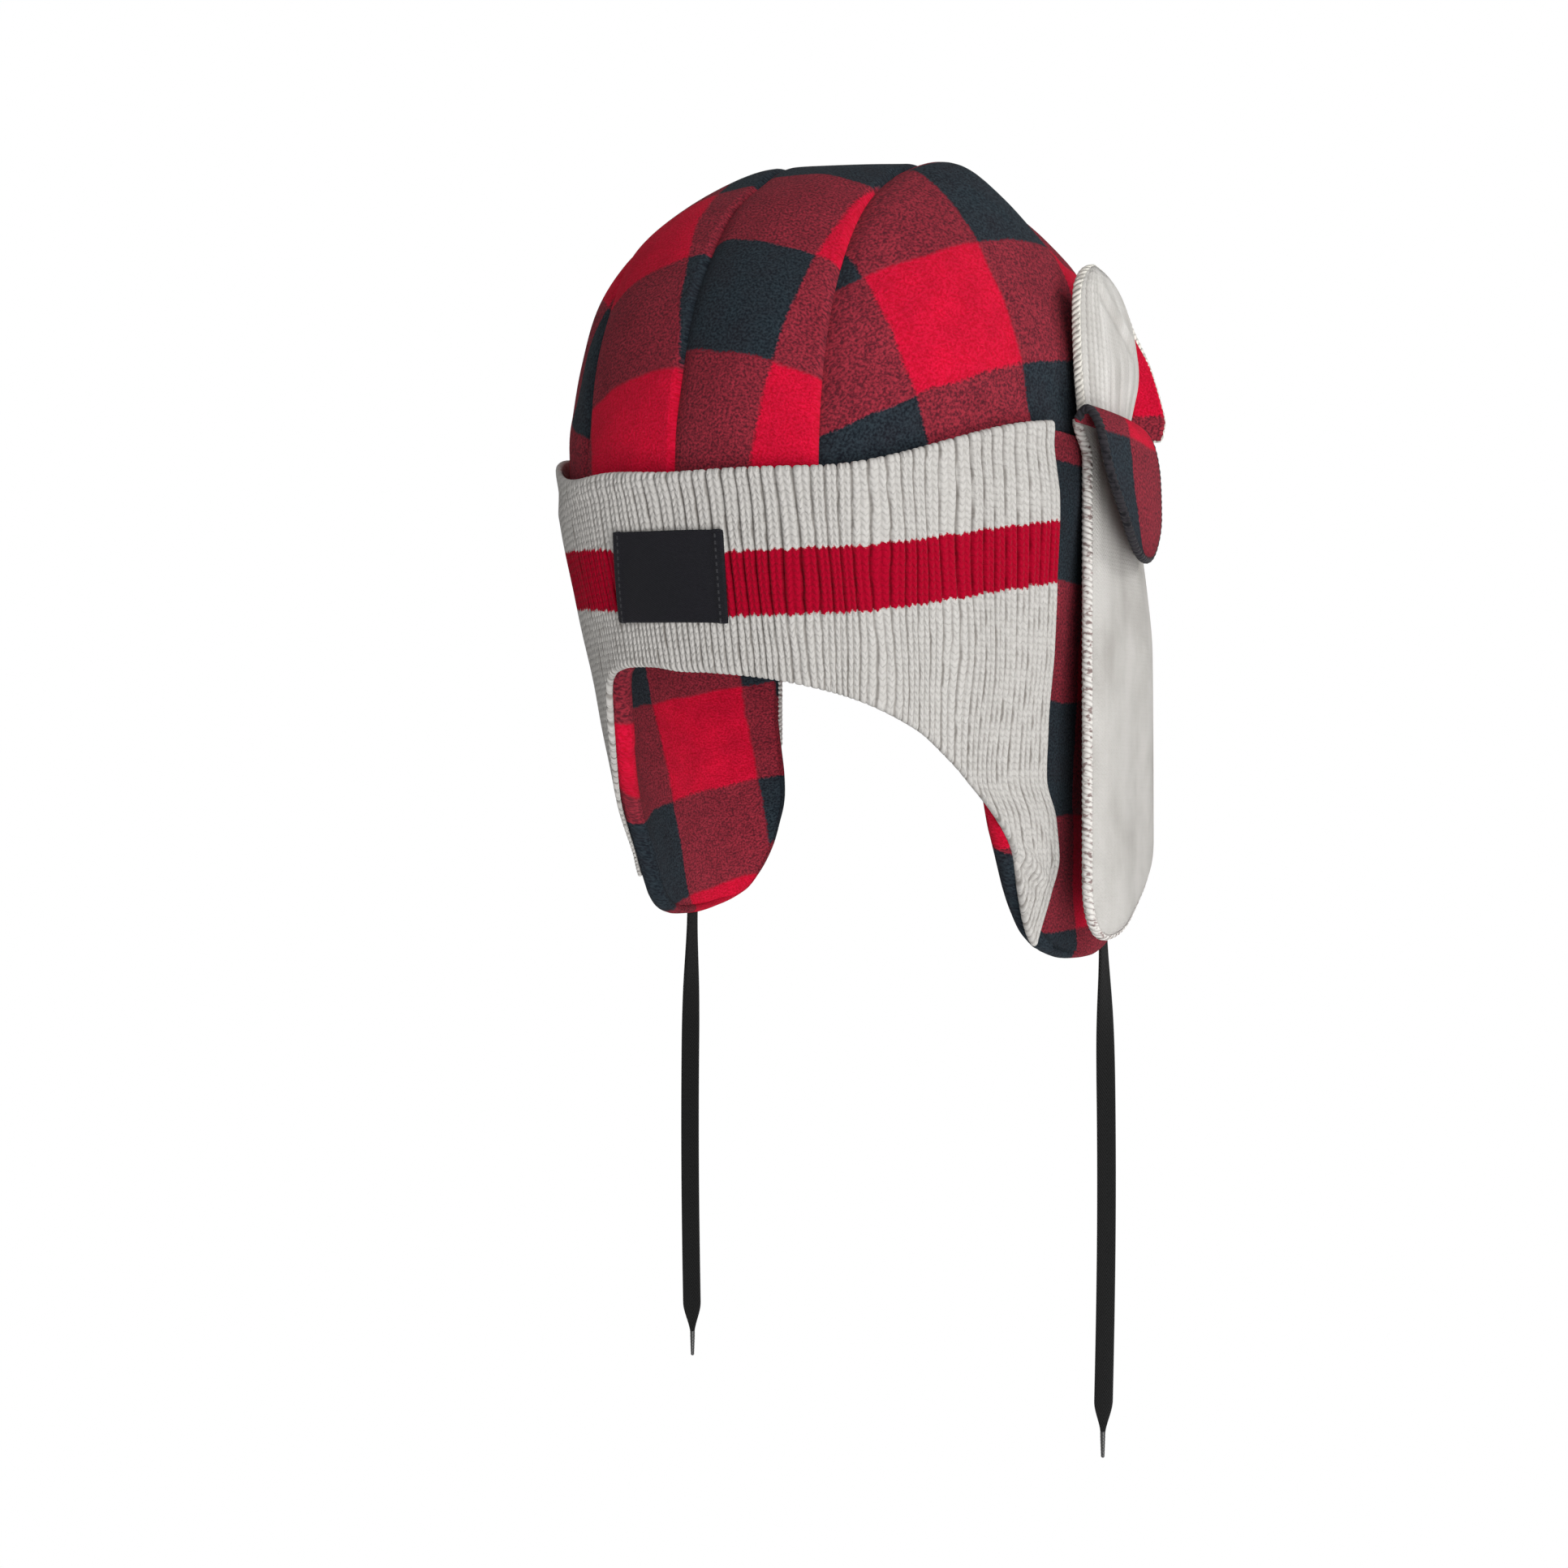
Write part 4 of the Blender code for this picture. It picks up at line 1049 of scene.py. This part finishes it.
def rim_piece(kind, name, side, angle, grow, lattice, first, look):
    """Part of the rim over the given angles; where it is thinner it lies further out."""
    height = cloth_edge(angle, name)
    out = 0.5 * (FLEECE[1] + LINING[0]) + RIM_SIZE[0] * np.maximum(1.0 - grow, 0.0)
    middle = wall(angle, height, out, side)
    across = wall(angle, height, out + 1.0, side) - middle
    below = wall(angle, height - 1.0, out, side) - middle
    rings = edge_rings(middle, across, below, *RIM_SIZE, grow[:, None])
    up, turn = pairs(height, circle(EDGE_SIDES))
    first = first[:, None] + RIM_SIZE[1] * np.cos(turn)
    cloth = checked(lattice, first, up, 30.0 + RIM_SIZE[0] * np.sin(turn))
    dress(tube(kind + name, rings, cloth, look), ["flap_" + name], flap=name + "_flap")


def knit_top(turned):
    """Height of the cuff's top line at an angle towards the wearer's left."""
    return cuff_line(turned) + through(CUFF_UNEVEN, turned)


def ribbed(wale, plain):
    """Relief of the rib pattern: two wales to a rib where plain is 0, single wales where it is 1."""
    number = np.floor(wale / 2.0)
    uneven = 0.85 + 0.35 * np.sin(12.9 * number + 0.7 * np.sin(7.3 * number))
    from_middle = np.abs(2.0 * np.mod(wale / 2.0, 1.0) - 1.0)
    from_wale = np.abs(2.0 * np.mod(wale, 1.0) - 1.0)
    double = RIB_DEPTH * uneven * from_middle ** 6 + NOTCH_DEPTH * hill(from_middle, 0.0, 0.2)
    return -mix(double, WALE_DEPTH * uneven * from_wale ** 4, plain)


def fold_line(ends, x, y, scale, fade):
    """How strongly a fold between two ends shows at x and y, and how far beside it they lie."""
    (x0, y0), (x1, y1) = ends
    run, rise = (x1 - x0) * scale[0], (y1 - y0) * scale[1]
    length = np.hypot(run, rise)
    across, up = (x - x0) * scale[0], (y - y0) * scale[1]
    along, aside = (across * run + up * rise) / length ** 2, (up * run - across * rise) / length
    return ease(along / fade + 0.5) * ease((1.0 - along) / fade + 0.5), aside


def pucker(angle, height):
    """Fold in the knit where it narrows on the left flap."""
    shown, aside = fold_line(PUCKER, angle, height, PUCKER_SCALE, 0.4)
    return PUCKER_HEIGHT * shown * (hill(aside, 2.0, 2.5) - hill(aside, -1.5, 1.8))


def make_knit(look):
    """Rib-knit cuff that runs down over each ear flap to a point."""
    for name, side in SIDES.items():
        drop = FLAP_DROPS[name]
        tip = FOLD_HEIGHT + (KNIT_TIP + KNIT_SHORT[name] - FOLD_HEIGHT) * drop
        squeeze = (tip - FOLD_HEIGHT) / (KNIT_TIP - FOLD_HEIGHT)
        share, v = pairs(shares(RIBS * 14 + 1), shares(130))
        column = share[:, :1]
        low = halve(lambda level: through(KNIT_EDGES[name], column * through(KNIT_REAR, level)) < level,
                    np.full_like(column, KNIT_TIP), np.full_like(column, KNIT_INNER_EDGE))
        top = knit_top(side * column * KNIT_REAR[-1][1])
        level = mix(low, top, v)
        angle = share * through(KNIT_REAR, level)
        length = mix(drop, squeeze, ease((KNIT_SHORTENS_FROM - level) / (KNIT_SHORTENS_FROM - KNIT_TIP)))
        height = np.where(level < FOLD_HEIGHT, FOLD_HEIGHT + (level - FOLD_HEIGHT) * length, level)
        uneven = 0.5 * np.sin(31.0 * share + 1.0) + 0.16 * np.sin(height / 7.0 + 23.0 * share)
        wale = share * RIBS * 2.0 + uneven * np.sin(pi * share)
        below = through(STRIPE_TOP, side * angle) - height
        plain = ease((below - STRIPE_HEIGHT - RIB_CHANGE[0]) / (RIB_CHANGE[1] - RIB_CHANGE[0]))
        wave = KNIT_WAVE * ripple(wall(angle, height, 0.0, side))
        roll = CUFF_ROLL * ease(1.0 - (top - level) / CUFF_ROLL_WIDTH)
        slim = KNIT_SLIM * hill(side * angle, KNIT_SLIM_ANGLE, KNIT_SLIM_SPAN)
        gather = pucker(angle, height) if name == "left" else 0.0
        outer = wall(angle, height, KNIT[1] + ribbed(wale, plain) + wave + roll + gather - slim, side)
        inner = wall(angle, height, KNIT[0], side)
        cloth = np.stack((wale, height / COURSE, below), -1)
        piece = shell("knit_" + name, outer, inner, cloth, look, roundness=0.9, steps=5)
        dress(piece, ["cuff_" + name, "flap_knit_" + name], flap=name + "_flap")


def make_label(look):
    """Plain woven label sewn to the front of the cuff."""
    seat = KNIT[1] + GAP
    u, v = pairs(shares(60), shares(40))
    angle = mix(*LABEL_ANGLES, u) + mix(*LABEL_LEANS, u) * (v - 0.5)
    height = mix(*LABEL_HEIGHTS, v) + LABEL_TILT * (0.5 - u)
    near = np.minimum(u, 1.0 - u) * LABEL_WEAVE[0]
    puff = 0.45 * ease((3.0 - near) / 0.8) + 0.25 * np.sin(5.0 * u + 3.0 * v)
    outer = wall(angle, height, seat + LABEL_THICK + puff - 0.5, 1.0)
    inner = wall(angle, height, seat - 0.3, 1.0)
    cloth = np.stack((u * LABEL_WEAVE[0], v * LABEL_WEAVE[1], near), -1)
    dress(shell("label", outer, inner, cloth, look), ["front_label"], "hat")


def overlock(name, outer, inner, thickness, width, look, body, slot):
    """Thread sewn round the edge of a sheet, from its root down one side and up the other."""
    n, m = outer.shape[:2]
    places = ([(0, j) for j in range(m - 1, 0, -1)] + [(i, 0) for i in range(n)]
              + [(n - 1, j) for j in range(1, m)])
    middle, half, outward = edge_frame(outer, inner, places)
    run = run_along(middle)
    even = np.linspace(0.0, run[-1], int(run[-1] / 0.5))
    middle, half, outward = (np.stack([np.interp(even, run, part[:, k]) for k in range(3)], -1)
                             for part in (middle, half, outward))
    along, turn = pairs(even, circle(EDGE_SIDES))
    grow = 1.0 + 0.07 * np.sin(2.0 * pi * along / THREAD_PITCH + turn)
    rings = edge_rings(middle, half, outward, thickness, width, grow)
    cloth = np.stack((along, turn / pi, np.zeros_like(grow)), -1)
    return dress(tube(name, rings, cloth, look), [], body)


def pinched(out, near):
    """Distance outside the hat of a layer that is sewn flat to its neighbour along the edge."""
    middle = 0.5 * (LAYER_IN[0] + LAYER_OUT[1])
    return middle + (out - middle) * (1.0 - EDGE_PINCH * np.clip(1.0 - near / EDGE_WIDTH, 0.0, 1.0) ** 2)


def toe(y):
    """Rise of the strap's lower outline at y, rounded like the toe of a sock."""
    end = (y >= STRAP_TIP_Y).astype(int)
    reach, power, limit = (np.array(part)[end] for part in (STRAP_ROUND, STRAP_ROUND_POWERS, STRAP_Y))
    share = np.clip((y - STRAP_TIP_Y) / (limit - STRAP_TIP_Y), 0.0, 1.0)
    return reach * (1.0 - (1.0 - share ** power) ** (1.0 / power))


def strap(u, v, out, name):
    """Points of the long strap."""
    y = mix(*STRAP_Y, u)
    height = mix(STRAP_BOTTOMS[name] + toe(y), ROOT_HEIGHT, v)
    hang = ease((ROOT_HEIGHT - height) / STRAP_TURN)
    from_sides = np.minimum(u, 1.0 - u) * (STRAP_Y[1] - STRAP_Y[0])
    near = np.minimum(from_sides, v * (ROOT_HEIGHT - STRAP_BOTTOMS[name]))
    curl = STRAP_CURL * (1.0 - u) ** 4 * ease(1.0 - (ROOT_HEIGHT - height) / STRAP_CURL_LENGTH)
    y = mix(mix(*STRAP_ROOT_Y, u), y, hang) - curl
    bow = hang * (STRAP_FLARE * u + STRAP_BOW * np.sin(pi * u))
    fold = STRAP_FOLD * hang * np.sin(2.0 * pi * (1.5 * u + 0.5 * v)) * np.sin(pi * u)
    return rooted(bow + fold + pinched(out, near), y, height, SET_BACK[name], SIDES[name])


def tab(u, v, out, name):
    """Points of the upright tab."""
    front, rear = through(TAB_FRONT, v), through(TAB_REAR, v)
    near = np.minimum(np.minimum(u, 1.0 - u) * (rear - front), (1.0 - v) * TAB_HEIGHT)
    flare = TAB_FLARE * u * u * ease(2.0 * v) * np.clip((rear - front) / TAB_FLARE_WIDTH, 0.0, 1.0)
    height = ROOT_HEIGHT + GAP + TAB_HEIGHT * v
    return rooted(flare + pinched(out, near), mix(front, rear, u), height, SET_BACK[name], SIDES[name])


def tab_relief(u, v):
    """Gathers that rise from the tab's root, stitched ridges along its front and a crease across it."""
    gathers = sum(hill(u, place, 0.02) for place in TAB_GATHERS)
    relief = -TAB_GATHER_DEPTH * gathers * (1.0 - ease((v - 0.2) / 0.45))
    chevron = v * TAB_HEIGHT / TAB_STITCH + 0.9 * np.abs(np.mod(u * TAB_RIDGES, 1.0) - 0.5)
    ridged = TAB_RIDGE_DEPTH * np.abs(np.cos(pi * u * TAB_RIDGES)) ** 4
    stitched = TAB_STITCH_DEPTH * np.abs(np.cos(pi * chevron)) ** 4
    relief -= (ridged + stitched) * (1.0 - ease((u - 0.24) / 0.2))
    shown, aside = fold_line(TAB_CREASE, u, v, (TAB_HEIGHT, TAB_HEIGHT), 0.2)
    return relief + shown * (0.9 * hill(aside, 3.0, 3.0) - 0.7 * hill(aside, 0.0, 2.0))


def rear_tab(u, v, out, name):
    """Points of the tab that stands behind the upright one."""
    back, side = SET_BACK[name], SIDES[name]
    narrow = REAR_TAB_WAIST * np.abs(2.0 * (v - REAR_TAB_WIDEST)) ** REAR_TAB_WAIST_POWER
    drop = REAR_TAB_ROUND * u ** 3 * ease(2.0 * v - 1.0)
    height = mix(*REAR_TAB_HEIGHTS, v) - drop
    base = rooted(GAP + REAR_TAB_REACH * u * (1.0 - narrow), REAR_TAB_Y, height, back, side)
    step_x, step_y = rearward(REAR_TAB_Y + back)
    move = REAR_TAB_SWEEP * u + out
    return base + np.stack((side * step_x * move, step_y * move, np.zeros_like(move)), -1)


def droop(u, v, out, name):
    """Points of the tab that arches over the strap's root and hangs down."""
    past = np.clip((v - DROOP_ROUND_FROM) / (1.0 - DROOP_ROUND_FROM), 0.0, 1.0)
    half = (DROOP_HALF_WIDTH - DROOP_INSET) * (1.0 - past ** TAB_ROUND_POWER) ** (1.0 / TAB_ROUND_POWER)
    y = through(DROOP_CENTRE_Y, v) + mix(-half, half, u)
    ahead, behind = np.minimum(v + 0.01, 1.0), np.maximum(v - 0.01, 0.0)
    run = through(DROOP_OUT, ahead) - through(DROOP_OUT, behind)
    fall = through(DROOP_RISE, ahead) - through(DROOP_RISE, behind)
    size = np.hypot(run, fall)
    height = ROOT_HEIGHT + through(DROOP_RISE, v) + run / size * out + DROOP_INSET * past
    return rooted(through(DROOP_OUT, v) - fall / size * out, y, height, SET_BACK[name], SIDES[name])


def root_last(kind, grid):
    """Grid turned so that its root is the last column, where the thread round its edge starts and ends."""
    if kind == "rear_tab":
        grid = grid.swapaxes(0, 1)
    return grid if kind == "strap" else grid[:, ::-1]


def layered(kind, name, shape, u, v, relief, hollow_shade, wales, seed, looks):
    """Strap or tab of jersey over fleece, with a thread round its edge, that hangs from the hat's side."""
    knit_look, fleece_look, thread_look = looks
    body, seat = name + "_" + kind, ["side_cloth_" + name]
    layers = (LAYER_OUT[1] + relief, LAYER_OUT[0] - LAYER_CLOSE[1], LAYER_IN[1] + LAYER_CLOSE[0], LAYER_IN[0])
    outer, knit_back, fleece_face, inner = (shape(u, v, out, name) for out in layers)
    height = outer[..., 2]
    # The third coordinate is painted shade for the jersey
    cloth = np.stack((u * JERSEY_WALES * wales, height / JERSEY_COURSE, hollow_shade), -1)
    knit = shell(kind + "_knit_cloth_" + name, outer, knit_back, cloth, knit_look)
    dress(knit, [kind + "_knit_" + name], body)
    across = u * REAR_TAB_REACH if kind == "rear_tab" else fleece_face[..., 1]
    cloth = checked(kind, across, height, seed)
    fleece = shell(kind + "_fleece_cloth_" + name, fleece_face, inner, cloth, fleece_look)
    dress(fleece, [kind + "_fleece_" + name], body)
    thread = overlock(kind + "_overlock_" + name, root_last(kind, outer), root_last(kind, inner),
                      *EDGE_THREADS[kind], thread_look, body, "rib_knit")


def make_straps(fleece_look, knit_look, mottled, cream, black):
    """Side straps and tabs: jersey outside, fleece inside, overlocked edges."""
    for name in SIDES:
        u, v = pairs(crowded(110), crowded(150))
        relief = tab_relief(u, v)
        # Painted shade: the strap's jersey is darkened all over, the tab's in the hollows of its gathers and
        # crease
        strap_shade, hollow_shade = np.full(u.shape, STRAP_PAINTED_SHADE), np.clip(-0.7 * relief, 0.0, 0.8)
        layered("strap", name, strap, u, v, 0.0, strap_shade, 1.0, 40.0, (knit_look, fleece_look, mottled))
        layered("tab", name, tab, u, v, relief, hollow_shade, 1.0, 40.0, (knit_look, fleece_look, cream))
        u, v = pairs(crowded(40), crowded(60))
        layered("rear_tab", name, rear_tab, u, v, 0.0, np.zeros_like(u), REAR_TAB_WALES, 50.0,
                (knit_look, fleece_look, cream))
        make_droop(name, fleece_look, black)


def make_droop(name, fleece_look, thread_look):
    """Drooping fleece tab with a dark thread round its edge."""
    body = name + "_droop_tab"
    u, v = pairs(crowded(50), crowded(80))
    outer, inner = droop(u, 1.0 - v, DROOP_THICK, name), droop(u, 1.0 - v, 0.0, name)
    cloth = checked("droop", (u - 0.5) * 2.0 * DROOP_HALF_WIDTH, (1.0 - v) * DROOP_LENGTH, 60.0)
    fleece = shell("droop_cloth_" + name, outer, inner, cloth, fleece_look)
    dress(fleece, ["droop_tab_" + name], body)
    thread = overlock("droop_overlock_" + name, outer, inner, *EDGE_THREADS["droop"], thread_look, body,
                      "check_fleece")


make_camera()
make_studio()
braid, plastic = lace_material(), aglet_material()
for side_name in SIDES:
    make_lace(side_name, braid, plastic)
check = fleece_material("check_fleece", 1.0)
# The lining is a lighter copy of the outer fleece: painted light on the inside of the hat
lit_lining = fleece_material("lining_fleece", LINING_PAINTED_LIGHT)
make_crown(check, lit_lining)
make_sides(check, lit_lining)
make_rims(check)
make_knit(knit_material())
make_label(label_material())
make_straps(check, jersey_material(), *(thread_material(name, *look) for name, look in THREADS.items()))
